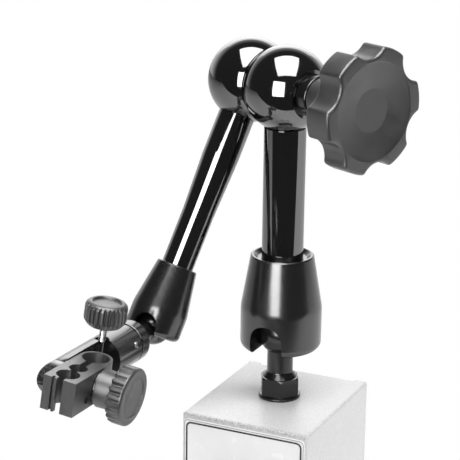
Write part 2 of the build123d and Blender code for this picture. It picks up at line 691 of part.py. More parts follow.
# ---------------------------------------------------------------- clamp
CLAMP_HOLES = (
    (LARGE_STEM_X, LARGE_STEM_R),
    (SMALL_STEM_X, SMALL_STEM_R),
    (METRIC_STEM_X, METRIC_STEM_R),
)
BLOCK_FACE = BLOCK_NEAR + BLOCK_WIDTH
BLOCK_LOW = BLOCK_Z - BLOCK_HEIGHT / 2
BLOCK_HIGH = BLOCK_Z + BLOCK_HEIGHT / 2
WASHER_THICKNESS = 0.8
KNOB_NEAR = BLOCK_FACE + WASHER_THICKNESS + 0.06


def clamp_block():
    """Split block with three upright stem holes, a rounded back end and a dovetail groove in its tip."""
    below, above = BLOCK_LOW - 1, BLOCK_HIGH + 1
    body = block((LARGE_STEM_X, BLOCK_NEAR, BLOCK_LOW), (BLOCK_FRONT, BLOCK_FACE, BLOCK_HIGH))
    body += Pos(LARGE_STEM_X, BLOCK_MIDDLE, 0) * rod(LARGE_STEM_R + BACK_WALL, BLOCK_LOW, BLOCK_HIGH)
    body = chamfer(body.edges().filter_by(Axis.X), 0.3)
    for hole_x, hole_r in CLAMP_HOLES:
        body -= Pos(hole_x, BLOCK_MIDDLE, 0) * rod(hole_r, below, above)
    slit_low, slit_high = BLOCK_MIDDLE - SLIT / 2, BLOCK_MIDDLE + SLIT / 2
    body -= block((LARGE_STEM_X, slit_low, below), (BLOCK_FRONT + 1, slit_high, above))
    groove_high = slit_low - DOVETAIL_LIP
    groove_low = groove_high - DOVETAIL_GROOVE
    groove_floor = BLOCK_FRONT - DOVETAIL_DEPTH
    body -= block((groove_floor, groove_low, below), (BLOCK_FRONT + 1, groove_high, above))
    body -= clamp_axis(rod(CLAMP_SCREW_R + RUNNING + 0.05, -1, 20))
    body -= Pos(74.2, 0, -1.6) * along_y(rod(1.25, BLOCK_MIDDLE + 4.6, 20))
    return placed(head_place, body)


def clamp_screw():
    """Screw from the lever's back, through the block, into the clamp knob."""
    shank = rod(CLAMP_SCREW_R, -5.0, KNOB_NEAR + 10.0) + rod(CLAMP_HEAD_R, -6.2, -4.0)
    shank -= block((-0.4, -5, -6.3), (0.4, 5, -5.5))
    return placed(head_place, clamp_axis(shank))


def clamp_washer():
    low = BLOCK_FACE + 0.03
    washer = rod(6.2, low, low + WASHER_THICKNESS) - rod(CLAMP_SCREW_R + RUNNING + 0.05, 0, 30)
    return placed(head_place, clamp_axis(washer))


def clamp_knob():
    """Hub and ribbed rim; the ribs stop behind a smooth edge round the shallow dished face."""
    low = KNOB_NEAR
    rim_low, high = low + 6.2, low + 12.1
    rib_end = high - 1.0
    knob = ribbed(CLAMP_KNOB_R, rim_low, rib_end, CLAMP_RIBS, 0.9)
    knob += rod(CLAMP_KNOB_R, rib_end, high)
    knob &= turned([
        (0, rim_low),
        (CLAMP_KNOB_R - 0.8, rim_low),
        (CLAMP_KNOB_R, rim_low + 0.9),
        (CLAMP_KNOB_R, high - 0.9),
        (CLAMP_KNOB_R - 0.3, high - 0.3),
        (CLAMP_KNOB_R - 0.9, high),
        (0, high),
    ])
    knob += cone(CLAMP_HUB_R, CLAMP_HUB_R - 0.3, low, rim_low + 0.2)
    knob -= rod(0.7 * CLAMP_KNOB_R, high - 0.4, high + 1)
    knob -= rod(CLAMP_INSERT_R + FIT, low - 1, low + 10.6)
    return placed(head_place, clamp_axis(knob))


def clamp_insert():
    insert = rod(CLAMP_INSERT_R, KNOB_NEAR + 0.04, KNOB_NEAR + 10.4)
    insert -= rod(CLAMP_SCREW_R + FIT, 0, KNOB_NEAR + 10.2)
    return placed(head_place, clamp_axis(insert))


# ---------------------------------------------------------------- all pieces
left_pole, right_pole, spacer_bar = base_pieces()
PIECES = {
    "base_pole_left": left_pole,
    "base_pole_right": right_pole,
    "base_spacer": spacer_bar,
    "front_plate": front_plate(),
    "rotor_bearing": rotor_bearing(),
    "detent_ball": detent_ball(),
    "detent_spring": detent_spring(),
    "stop_pin": stop_pin(),
    "rotor_magnet": rotor_magnet(),
    "rotor_shaft": rotor_shaft(),
    "switch_knob": switch_knob(),
    "switch_screw": switch_screw(),
    "base_stud": base_stud(),
    "lower_ball": lower_ball(),
    "lower_socket": lower_socket(),
    "lower_socket_pin": lower_socket_pin(),
    "column_tube": column_tube(),
    "lower_push_rod": lower_push_rod(),
    "lower_ball_seat": lower_ball_seat(),
    "lower_knuckle": lower_knuckle(),
    "elbow_washer": elbow_washer(),
    "lower_taper": lower_taper(),
    "upper_taper": upper_taper(),
    "tie_bolt": tie_bolt(),
    "thrust_collar": thrust_collar(),
    "star_knob": star_knob(),
    "knob_insert": knob_insert(),
    "upper_knuckle": upper_knuckle(),
    "arm_tube": arm_tube(),
    "upper_socket": upper_socket(),
    "upper_socket_pin": upper_socket_pin(),
    "upper_push_rod": upper_push_rod(),
    "upper_ball_seat": upper_ball_seat(),
    "upper_ball": upper_ball(),
    "head_stud": head_stud(),
    "lever_body": lever_body(),
    "hinge_pin": hinge_pin(),
    "lever_spring": lever_spring(),
    "fine_tip": fine_tip(),
    "fine_screw": fine_screw(),
    "fine_knob": fine_knob(),
    "clamp_block": clamp_block(),
    "clamp_screw": clamp_screw(),
    "clamp_washer": clamp_washer(),
    "clamp_knob": clamp_knob(),
    "clamp_insert": clamp_insert(),
}

os.makedirs("parts", exist_ok=True)
for name, piece in PIECES.items():
    export_step(piece, f"parts/{name}.step")
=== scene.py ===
"""Looks of an articulated indicator holder on a switchable magnetic base.

Pieces are modelled in millimetres in the local frame of the joint they belong to, with the same
axes as the CAD, and are then put in place in metres.
"""

import json
import math

import bmesh
import bpy
from mathutils import Matrix, Vector


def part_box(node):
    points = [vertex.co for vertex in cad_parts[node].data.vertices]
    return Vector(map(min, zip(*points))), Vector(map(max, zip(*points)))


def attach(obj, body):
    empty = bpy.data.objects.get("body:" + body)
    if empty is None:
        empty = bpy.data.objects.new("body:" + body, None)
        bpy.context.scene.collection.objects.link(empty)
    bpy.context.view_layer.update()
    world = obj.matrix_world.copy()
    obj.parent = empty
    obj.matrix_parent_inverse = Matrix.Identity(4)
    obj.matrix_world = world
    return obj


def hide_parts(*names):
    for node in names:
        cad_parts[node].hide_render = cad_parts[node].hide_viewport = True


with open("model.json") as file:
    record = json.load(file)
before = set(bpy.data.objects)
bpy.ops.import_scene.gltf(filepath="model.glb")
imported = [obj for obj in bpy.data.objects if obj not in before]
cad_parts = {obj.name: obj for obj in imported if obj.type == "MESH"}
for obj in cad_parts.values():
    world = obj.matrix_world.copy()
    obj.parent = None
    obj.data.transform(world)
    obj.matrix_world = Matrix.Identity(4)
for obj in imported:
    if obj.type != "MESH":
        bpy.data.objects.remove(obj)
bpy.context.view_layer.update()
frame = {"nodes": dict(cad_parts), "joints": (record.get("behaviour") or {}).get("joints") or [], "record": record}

MM = 0.001
JOINTS = {joint["name"]: joint for joint in frame["joints"]}


# ---------------- places
def joint_point(name):
    return Vector(JOINTS[name]["pos_m"])


def joint_axis(name):
    return Vector(JOINTS[name]["axis"]).normalized()


def placed_at(origin, z_axis, x_axis):
    """Matrix from a local frame in millimetres to the object's frame in metres."""
    z = z_axis.normalized()
    y = z.cross(x_axis).normalized()
    x = y.cross(z)
    turn = Matrix((x, y, z)).transposed().to_4x4()
    return Matrix.Translation(origin) @ turn @ Matrix.Scale(MM, 4)


UP = Vector((0, 0, 1))
RIGHT = Vector((1, 0, 0))
BASE_LOW, BASE_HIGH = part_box("base_pole_left")[0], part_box("base_pole_right")[1]
LOWER_BALL = joint_point("column_yaw")
ELBOW_FRONT = joint_point("star_knob_turn")
BOLT = joint_axis("star_knob_turn")
SWING = BOLT.cross(UP)
ELBOW_REAR = joint_point("elbow")
UPPER_BALL = joint_point("head_tilt")
ARM = (UPPER_BALL - ELBOW_REAR).normalized()
HEAD = joint_axis("head_roll")
HEAD_UP = joint_axis("fine_knob_turn")
HEAD_SIDE = joint_axis("clamp_swivel")
SLOT = (HEAD - ARM * HEAD.dot(ARM)).normalized()

BASE = placed_at(Vector((0, 0, 0)), UP, RIGHT)
SWITCH = placed_at(Vector((0, 0, joint_point("switch_turn").z)), joint_axis("switch_turn"), RIGHT)
COLUMN = placed_at(LOWER_BALL, UP, RIGHT)
FRONT_BALL = placed_at(ELBOW_FRONT, BOLT, SWING)
REAR_BALL = placed_at(ELBOW_REAR, BOLT, SWING)
ARM_TUBE = placed_at(ELBOW_REAR, ARM, BOLT)
UPPER_SOCKET = placed_at(UPPER_BALL, -ARM, SLOT.cross(ARM))
HEAD_FRAME = placed_at(UPPER_BALL, HEAD_UP, HEAD)
FINE_KNOB = placed_at(joint_point("fine_knob_turn"), HEAD_UP, HEAD)
CLAMP_KNOB = placed_at(joint_point("clamp_knob_turn"), HEAD_SIDE, HEAD)


# ---------------- sizes of the CAD nodes
def node_points(node, place):
    """Vertices of a CAD node in a local frame, in millimetres."""
    piece = frame["nodes"][node]
    to_local = place.inverted() @ piece.matrix_world
    return [to_local @ vertex.co for vertex in piece.data.vertices]


def span(node, place):
    """Lowest and highest corner of a CAD node in a local frame."""
    points = node_points(node, place)
    low = Vector([min(p[i] for p in points) for i in range(3)])
    high = Vector([max(p[i] for p in points) for i in range(3)])
    return low, high


def widest(node, place):
    """Largest radius of a CAD node about a local frame's Z."""
    return max(math.hypot(p.x, p.y) for p in node_points(node, place))


# ---------------- mesh helpers
def rounded(outline, steps=5):
    """Outline as plain points. A point's third value, if it has one, is its corner's radius."""
    count = len(outline)
    points = []
    for i, corner in enumerate(outline):
        here = Vector(corner[:2])
        radius = corner[2] if len(corner) > 2 else 0
        before = Vector(outline[i - 1][:2]) - here
        after = Vector(outline[(i + 1) % count][:2]) - here
        if not radius or not before.length or not after.length:
            points.append(here)
            continue
        half = before.angle(after) / 2
        reach = min(radius / math.tan(half), before.length * 0.49, after.length * 0.49)
        radius = reach * math.tan(half)
        inwards = (before.normalized() + after.normalized()).normalized()
        middle = here + inwards * radius / math.sin(half)
        start = here + before.normalized() * reach - middle
        end = here + after.normalized() * reach - middle
        sweep = start.angle_signed(end)
        for step in range(steps + 1):
            turn = Matrix.Rotation(-sweep * step / steps, 2)
            points.append(middle + turn @ start)
    return points


def new_piece(name, mesh):
    """Object made of a bmesh, still in its local millimetres."""
    bmesh.ops.recalc_face_normals(mesh, faces=mesh.faces)
    data = bpy.data.meshes.new(name)
    mesh.to_mesh(data)
    mesh.free()
    piece = bpy.data.objects.new(name, data)
    bpy.context.scene.collection.objects.link(piece)
    return piece


def turned(name, outline, steps=128):
    """Solid of revolution about local Z from (radius, height) points, closed on the axis or on itself."""
    points = rounded(outline)
    mesh = bmesh.new()
    rings = []
    for point in points:
        if abs(point.x) < 1e-6:
            rings.append([mesh.verts.new((0, 0, point.y))])
            continue
        angles = [2 * math.pi * i / steps for i in range(steps)]
        around = [(point.x * math.cos(a), point.x * math.sin(a), point.y) for a in angles]
        rings.append([mesh.verts.new(p) for p in around])
    for ring, following in zip(rings, rings[1:] + rings[:1]):
        if len(ring) == 1 and len(following) == 1:
            continue
        for i in range(steps):
            j = (i + 1) % steps
            near = (ring[i % len(ring)], ring[j % len(ring)])
            far = (following[j % len(following)], following[i % len(following)])
            mesh.faces.new(list(dict.fromkeys(near + far)))
    return new_piece(name, mesh)


def prism(name, outline, low, high):
    """Straight solid between two heights on local Z over an outline of (x, y) points."""
    points = rounded(outline)
    mesh = bmesh.new()
    floor = [mesh.verts.new((p.x, p.y, low)) for p in points]
    roof = [mesh.verts.new((p.x, p.y, high)) for p in points]
    mesh.faces.new(floor)
    mesh.faces.new(roof)
    for i in range(len(points)):
        j = (i + 1) % len(points)
        mesh.faces.new((floor[i], floor[j], roof[j], roof[i]))
    return new_piece(name, mesh)


def inset(points, depth):
    """A closed outline moved inwards along its normals."""
    result = []
    for i, point in enumerate(points):
        along = (points[(i + 1) % len(points)] - points[i - 1]).normalized()
        result.append(point + Vector((-along.y, along.x)) * depth)
    return result


def circles(points, *sizes):
    """Round rings of these (radius, height), whose points stand at the same angles as an outline's."""
    return [([point.normalized() * radius for point in points], height) for radius, height in sizes]


def capped(points, radius):
    """An outline with whatever lies beyond a circle brought back to it."""
    return [point if point.length < radius else point.normalized() * radius for point in points]


def ringed(name, rings):
    """Closed skin over rings (points, height) of equally many points; the last joins the first."""
    mesh = bmesh.new()
    loops = [[mesh.verts.new((p.x, p.y, height)) for p in points] for points, height in rings]
    count = len(loops[0])
    for loop, following in zip(loops, loops[1:] + loops[:1]):
        for i in range(count):
            j = (i + 1) % count
            mesh.faces.new((loop[i], loop[j], following[j], following[i]))
    return new_piece(name, mesh)


def rounded_edge(points, radius, height, upwards, steps=4):
    """Rings that round an outline's edge over to a flat face at this height."""
    rings = []
    for step in range(steps + 1):
        turn = math.pi / 2 * step / steps
        depth = radius * (1 - math.cos(turn))
        rings.append((inset(points, depth), height - upwards * radius * (1 - math.sin(turn))))
    return rings if upwards > 0 else rings[::-1]


def rod(name, radius, low, high, steps=128):
    """Plain cylinder on local Z."""
    return turned(name, [(0, low), (radius, low), (radius, high), (0, high)], steps)


def rectangle(low, high, corner=0):
    """Outline of a rectangle between two corners; its corners may be rounded."""
    return [(low[0], low[1], corner), (high[0], low[1], corner),
            (high[0], high[1], corner), (low[0], high[1], corner)]


def box(name, low, high):
    return prism(name, rectangle(low, high), low[2], high[2])


def bake_modifiers(piece):
    graph = bpy.context.evaluated_depsgraph_get()
    data = bpy.data.meshes.new_from_object(piece.evaluated_get(graph))
    piece.modifiers.clear()
    piece.data = data
    return piece


def combined(piece, tools, operation):
    """The piece after a boolean operation with each tool; the tools are used up."""
    for tool in tools:
        modifier = piece.modifiers.new(operation, "BOOLEAN")
        modifier.object = tool
        modifier.operation = operation
        modifier.solver = "EXACT"
        bake_modifiers(piece)
        bpy.data.objects.remove(tool)
    return piece


def cut(piece, *tools):
    return combined(piece, tools, "DIFFERENCE")


def joined(piece, *tools):
    return combined(piece, tools, "UNION")


def softened(piece, width, steps=3, angle=30):
    """Rounds the edges that are sharper than an angle."""
    modifier = piece.modifiers.new("soften", "BEVEL")
    modifier.width = width
    modifier.segments = steps
    modifier.limit_method = "ANGLE"
    modifier.angle_limit = math.radians(angle)
    modifier.miter_outer = "MITER_ARC"
    return bake_modifiers(piece)


def moved(piece, matrix):
    piece.data.transform(matrix)
    return piece


def along_x(piece):
    """Turns a piece made along Z so that it lies along X."""
    return moved(piece, Matrix.Rotation(math.pi / 2, 4, "Y"))


def along_y(piece):
    """Turns a piece made along Z so that it lies along Y."""
    return moved(piece, Matrix.Rotation(-math.pi / 2, 4, "X"))


def shifted(piece, x, y, z):
    return moved(piece, Matrix.Translation((x, y, z)))


def cleaned(piece, distance=0.01):
    """Merges the near-double points that a boolean leaves behind."""
    mesh = bmesh.new()
    mesh.from_mesh(piece.data)
    bmesh.ops.remove_doubles(mesh, verts=mesh.verts, dist=distance)
    mesh.to_mesh(piece.data)
    mesh.free()
    return piece


def shaded(piece, angle=32):
    """Smooth shading, except across edges sharper than an angle."""
    mesh = bmesh.new()
    mesh.from_mesh(piece.data)
    for face in mesh.faces:
        face.smooth = True
    for edge in mesh.edges:
        edge.smooth = len(edge.link_faces) == 2 and edge.calc_face_angle() < math.radians(angle)
    mesh.to_mesh(piece.data)
    mesh.free()
    # large faces keep their own direction; the small faces of a rounding take up the turn
    modifier = piece.modifiers.new("normals", "WEIGHTED_NORMAL")
    modifier.keep_sharp = True
    modifier.weight = 80
    return bake_modifiers(piece)


def settled(piece, place, body, material, slot, *replaced):
    """Puts a finished piece in place on its body, in its material, instead of some CAD nodes."""
    moved(piece, place)
    shaded(piece)
    piece.data.materials.clear()
    piece.data.materials.append(material)
    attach(piece, body)
    if replaced:
        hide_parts(*replaced)


# ---------------- material helpers
def add_node(tree, kind, values):
    """New node with these values, each by its input's name or number."""
    node = tree.nodes.new(kind)
    for socket, value in values.items():
        node.inputs[socket].default_value = value
    return node


class Finish:
    """A Principled material and short calls for the nodes that vary it."""

    def __init__(self, name, color, roughness, metallic=0.0, ior=1.5, coat=0.0):
        self.material = bpy.data.materials.new(name)
        self.material.use_nodes = True
        self.tree = self.material.node_tree
        self.shader = self.tree.nodes["Principled BSDF"]
        values = {"Base Color": (*color, 1), "Roughness": roughness, "Metallic": metallic,
                  "IOR": ior, "Coat Weight": coat, "Coat Roughness": 0.03}
        for socket, value in values.items():
            self.shader.inputs[socket].default_value = value
        self.place = self.tree.nodes.new("ShaderNodeTexCoord").outputs["Object"]

    def link(self, source, target):
        self.tree.links.new(source, target)

    def noise(self, size, detail=3.0, roughness=0.5, stretch=(1, 1, 1)):
        """Noise with features of about this size in metres."""
        mapping = add_node(self.tree, "ShaderNodeMapping", {"Scale": stretch})
        self.link(self.place, mapping.inputs["Vector"])
        values = {"Scale": 1 / size, "Detail": detail, "Roughness": roughness}
        node = add_node(self.tree, "ShaderNodeTexNoise", values)
        self.link(mapping.outputs["Vector"], node.inputs["Vector"])
        return node.outputs["Fac"]

    def along(self, axis, offset=0.0):
        """Distance along an axis, in metres, plus an offset."""
        dot = add_node(self.tree, "ShaderNodeVectorMath", {1: axis})
        dot.operation = "DOT_PRODUCT"
        self.link(self.place, dot.inputs[0])
        return self.math("ADD", dot.outputs["Value"], offset)

    def math(self, operation, *values):
        node = self.tree.nodes.new("ShaderNodeMath")
        node.operation = operation
        for socket, value in zip(node.inputs, values):
            if isinstance(value, (int, float)):
                socket.default_value = value
            else:
                self.link(value, socket)
        return node.outputs[0]

    def ramp(self, value, low, high, from_low=0.35, from_high=0.65):
        """Value stretched from one range to another and clamped."""
        values = {"From Min": from_low, "From Max": from_high, "To Min": low, "To Max": high}
        node = add_node(self.tree, "ShaderNodeMapRange", values)
        self.link(value, node.inputs["Value"])
        return node.outputs["Result"]

    def mixed(self, factor, first, second):
        """Colour between two, each a tuple or a socket."""
        node = self.tree.nodes.new("ShaderNodeMix")
        node.data_type = "RGBA"
        self.link(factor, node.inputs["Factor"])
        for socket, color in ((node.inputs["A"], first), (node.inputs["B"], second)):
            if isinstance(color, tuple):
                socket.default_value = (*color, 1)
            else:
                self.link(color, socket)
        return node.outputs["Result"]

    def vary_color(self, socket):
        self.link(socket, self.shader.inputs["Base Color"])

    def vary_roughness(self, socket):
        self.link(socket, self.shader.inputs["Roughness"])

    def bump(self, height, distance, strength=1.0):
        """Relief of this height in metres."""
        node = add_node(self.tree, "ShaderNodeBump", {"Distance": distance, "Strength": strength})
        self.link(height, node.inputs["Height"])
        self.link(node.outputs["Normal"], self.shader.inputs["Normal"])


# ---------------- materials
def base_paint():
    """Light grey satin paint with a fine grain, darker in speckles along the front and right top edges."""
    finish = Finish("base_paint", (0.62, 0.62, 0.61), 0.4)
    grain = finish.noise(0.0006, detail=4)
    clouds = finish.noise(0.012)
    speckle = finish.ramp(grain, 0.0, 1.0, 0.3, 0.7)
    paint = finish.mixed(speckle, (0.52, 0.52, 0.52), (0.68, 0.68, 0.68))
    paint = finish.mixed(finish.ramp(clouds, 0.0, 0.25), paint, (0.54, 0.54, 0.54))
    spots = finish.ramp(finish.noise(0.0009, detail=5, roughness=0.65), 0.0, 1.0, 0.4, 0.62)
    # speckled darkening painted along the front and right top edges, placed by position
    front_edge = Vector((0, BASE_LOW.y, BASE_HIGH.z))
    right_edge = Vector((BASE_HIGH.x, 0, BASE_HIGH.z))
    darkened_edges = ((front_edge, Vector((0, -1, 1)), 1.0, 0.3, -0.0012, -0.0003),
            (right_edge, Vector((1, 0, 1)), 0.6, 0.36, -0.0011, -0.0004))
    for edge, outwards, most, shade, start, full in darkened_edges:
        axis = outwards.normalized()
        at_edge = finish.ramp(finish.along(axis, -axis.dot(edge)), 0.0, most, start, full)
        paint = finish.mixed(finish.math("MULTIPLY", spots, at_edge), paint, (shade,) * 3)
    finish.vary_color(paint)
    finish.vary_roughness(finish.ramp(grain, 0.3, 0.5))
    finish.bump(grain, 0.00003, 0.6)
    return finish.material


def ground_steel():
    """Bare ground underside, with the brass-coloured strip between the poles."""
    finish = Finish("ground_steel", (0.55, 0.55, 0.56), 0.3, metallic=1.0)
    lines = finish.noise(0.0004, detail=2, stretch=(1, 0.02, 1))
    off_middle = finish.math("ABSOLUTE", finish.along((1, 0, 0)))
    strip_half = (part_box("base_spacer")[1].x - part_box("base_spacer")[0].x) / 2
    in_strip = finish.math("LESS_THAN", off_middle, strip_half)
    steel = finish.mixed(lines, (0.42, 0.42, 0.43), (0.68, 0.68, 0.69))
    finish.vary_color(finish.mixed(in_strip, steel, (0.72, 0.52, 0.24)))
    finish.vary_roughness(finish.ramp(lines, 0.22, 0.42))
    return finish.material


def plate_white():
    finish = Finish("plate_white", (0.86, 0.86, 0.86), 0.22, coat=0.3)
    clouds = finish.noise(0.006)
    finish.vary_color(finish.mixed(clouds, (0.84, 0.84, 0.84), (0.9, 0.9, 0.9)))
    finish.vary_roughness(finish.ramp(clouds, 0.18, 0.28))
    return finish.material


def plate_ink(name, shade):
    finish = Finish(name, (shade, shade, shade), 0.35)
    finish.vary_color(finish.mixed(finish.noise(0.0008), (shade * 0.8,) * 3, (shade * 1.3,) * 3))
    return finish.material


def gloss_black():
    """Polished black coating."""
    finish = Finish("gloss_black", (0.004, 0.004, 0.0045), 0.04, ior=2.1)
    haze = finish.noise(0.004, detail=4)
    finish.vary_roughness(finish.ramp(haze, 0.03, 0.075))
    finish.bump(finish.noise(0.0016, detail=1), 0.0000025)
    return finish.material


def turned_black(name, axis, roughness, ior=1.5, shade=0.009, relief=0.0):
    """Black coating, smooth or over fine turning marks round an axis."""
    mark = 0.0003
    finish = Finish(name, (shade, shade, shade * 1.1), roughness, ior=ior)
    haze = finish.noise(0.0012, detail=3)
    finish.vary_roughness(finish.ramp(haze, roughness * 0.92, roughness * 1.08))
    finish.vary_color(finish.mixed(haze, (shade * 0.8,) * 3, (shade * 1.2,) * 3))
    if relief:
        marks = add_node(finish.tree, "ShaderNodeTexNoise", {"Scale": 1 / mark})
        marks.noise_dimensions = "1D"
        finish.link(finish.along(axis), marks.inputs["W"])
        finish.bump(marks.outputs["Fac"], relief)
    return finish.material


def knob_plastic():
    """Moulded dark grey plastic with a fine grain."""
    finish = Finish("knob_plastic", (0.03, 0.03, 0.031), 0.4, ior=1.75)
    grain = finish.noise(0.0005, detail=3)
    clouds = finish.noise(0.006)
    finish.vary_color(finish.mixed(clouds, (0.022, 0.022, 0.023), (0.036, 0.036, 0.037)))
    finish.vary_roughness(finish.ramp(clouds, 0.34, 0.44))
    finish.bump(grain, 0.000004)
    return finish.material


def bright_steel(name="bright_steel", color=(0.62, 0.62, 0.63)):
    finish = Finish(name, color, 0.22, metallic=1.0)
    haze = finish.noise(0.0012, detail=4)
    dull, bright = tuple(c * 0.82 for c in color), tuple(c * 1.15 for c in color)
    finish.vary_color(finish.mixed(haze, dull, bright))
    finish.vary_roughness(finish.ramp(haze, 0.16, 0.32))
    return finish.material


BASE_PAINT = base_paint()
GROUND_STEEL = ground_steel()
PLATE_WHITE = plate_white()
PLATE_BLACK = plate_ink("plate_black", 0.015)
PLATE_GREY = plate_ink("plate_grey", 0.3)
GLOSS_BLACK = gloss_black()
KNOB_PLASTIC = knob_plastic()
BRIGHT_STEEL = bright_steel()
BRASS = bright_steel("brass", (0.75, 0.55, 0.26))
MAGNET = bright_steel("magnet", (0.2, 0.2, 0.21))
STUD_BLACK = turned_black("stud_black", UP, 0.2)
LOWER_BELL_BLACK = turned_black("lower_bell_black", UP, 0.22, ior=1.75)
UPPER_BELL_BLACK = turned_black("upper_bell_black", ARM, 0.22, ior=1.75)
BOLT_BLACK = turned_black("bolt_black", BOLT, 0.16, relief=0.000003)
HEAD_BLACK = turned_black("head_black", HEAD, 0.2, ior=1.95)
CLAMP_BLACK = turned_black("clamp_black", HEAD_UP, 0.36, ior=1.9, shade=0.035)

SLOT_MATERIALS = {
    "base_paint": BASE_PAINT,
    "name_plate": PLATE_WHITE,
    "black_oxide": HEAD_BLACK,
    "gloss_black": GLOSS_BLACK,
    "satin_black": LOWER_BELL_BLACK,
    "knob_plastic": KNOB_PLASTIC,
    "bright_steel": BRIGHT_STEEL,
    "brass": BRASS,
    "magnet": MAGNET,
}
NODE_MATERIALS = {
    "base_stud": STUD_BLACK,
    "upper_socket": UPPER_BELL_BLACK,
    "tie_bolt": BOLT_BLACK,
    "elbow_washer": BOLT_BLACK,
    "thrust_collar": BOLT_BLACK,
    "clamp_block": CLAMP_BLACK,
}


def dress_nodes():
    """Materials for the CAD nodes that stay in sight."""
    for subpart in frame["record"]["subparts"]:
        name = subpart["node"]
        materials = frame["nodes"][name].data.materials
        materials.clear()
        materials.append(NODE_MATERIALS.get(name, SLOT_MATERIALS[subpart["material_slot"]]))


dress_nodes()


# ---------------- magnetic base
BASE_SPAN = span("base_pole_left", BASE)[0], span("base_pole_right", BASE)[1]
HALF_WIDTH = BASE_SPAN[1].x
HALF_DEPTH = BASE_SPAN[1].y
BASE_TOP = BASE_SPAN[1].z
SPACER = span("base_spacer", BASE)


def base_body():
    """Painted block with its groove, its rear recess and the switch's bore; the underside is bare."""
    edge, groove_half, recess_half, bore_r, beyond = 0.8, 9.0, 20.0, 14.3, 5
    plan = rectangle((-HALF_WIDTH, -HALF_DEPTH), (HALF_WIDTH, HALF_DEPTH), edge)
    body = prism("base_body", plan, 0, BASE_TOP)
    roof, groove_top = SPACER[1].x, SPACER[0].z
    groove = prism("groove", [(-groove_half, 0), (-roof, -groove_top), (roof, -groove_top),
                              (groove_half, 0), (groove_half, beyond), (-groove_half, beyond)],
                   -2 * HALF_DEPTH, 2 * HALF_DEPTH)
    recess = box("recess", (-recess_half, SPACER[1].y, -1), (recess_half, HALF_DEPTH + 1, BASE_TOP + 1))
    cut(body, along_y(groove), recess)
    softened(body, edge * 0.8)
    # the roundings' corners reach a little below the plane that the base stands on
    below = box("below", (-2 * HALF_WIDTH, -2 * HALF_DEPTH, -beyond), (2 * HALF_WIDTH, 2 * HALF_DEPTH, 0))
    cut(body, below)
    cut(body, moved(rod("bore", bore_r, 0, HALF_DEPTH + 1), BASE.inverted() @ SWITCH))
    settled(body, BASE, "base", BASE_PAINT, "base_paint",
            "base_pole_left", "base_pole_right", "base_spacer")
    body.data.materials.append(GROUND_STEEL)
    bare_below = groove_top * MM + 0.0002
    for face in body.data.polygons:
        top = max(body.data.vertices[i].co.z for i in face.vertices)
        if top < bare_below and face.normal.z < -0.4:
            face.material_index = 1


def band(name, half_x, low, high, corner, inner, height):
    """Flat rounded frame standing a little above the plate."""
    outer = rounded(rectangle((-half_x, low), (half_x, high), corner))
    within = inset(outer, inner)
    return ringed(name, [(outer, height[0]), (outer, height[1]), (within, height[1]), (within, height[0])])


def name_plate():
    """White plate with a thin grey edge line and a black rounded frame inside it."""
    low, high = span("front_plate", SWITCH)
    corner, shaft_hole, rim, margin = 1.6, 4.6, 0.15, 0.9
    plate = prism("name_plate", rectangle(low, high, corner), low.z, high.z - 0.04)
    cut(plate, rod("hole", shaft_hole, low.z - 1, high.z + 1))
    settled(plate, SWITCH, "base", PLATE_WHITE, "name_plate", "front_plate")
    foot, top = high.z - 0.06, high.z - 0.02
    edge = band("plate_edge", high.x - rim, low.y + rim, high.y - rim, corner, 0.3, (foot, top))
    settled(edge, SWITCH, "base", PLATE_GREY, "name_plate")
    line = band("plate_frame", high.x - margin, low.y + margin, high.y - margin, 2.2, 0.7, (foot, high.z))
    settled(line, SWITCH, "base", PLATE_BLACK, "name_plate")


def switch_knob():
    """Round knob with a raised grip bar, a pointer notch and a screw well."""
    low, high = span("switch_knob", SWITCH)
    radius = widest("switch_knob", SWITCH)
    skirt_top, bar_half, bar_r = low.z + 4.5, 3.6, radius - 0.6
    shaft_r, shaft_end, screw_r, head_r, head_seat = 4.02, 38.1, 1.5, 2.9, high.z - 2.2
    outline = [(shaft_r, low.z), (radius, low.z), (radius - 0.8, skirt_top, 0.8), (shaft_r, skirt_top)]
    knob = turned("switch_knob", outline)
    bar = turned("bar", [(0, low.z + 1), (bar_r, low.z + 1), (bar_r, high.z, 1), (0, high.z)])
    sides = box("sides", (-bar_half, -radius, low.z), (bar_half, radius, high.z + 1))
    softened(combined(bar, [sides], "INTERSECT"), 0.7)
    joined(knob, bar)
    notch = box("notch", (-0.6, radius - 5, high.z - 0.6), (0.6, radius, high.z + 1))
    well = turned("well", [(0, low.z), (screw_r, low.z), (screw_r, head_seat), (head_r, head_seat),
                           (head_r, high.z - 0.3), (head_r + 0.4, high.z + 1), (0, high.z + 1)])
    cut(knob, notch, rod("shaft", shaft_r, low.z - 1, shaft_end), well)
    settled(knob, SWITCH, "switch", KNOB_PLASTIC, "knob_plastic", "switch_knob")


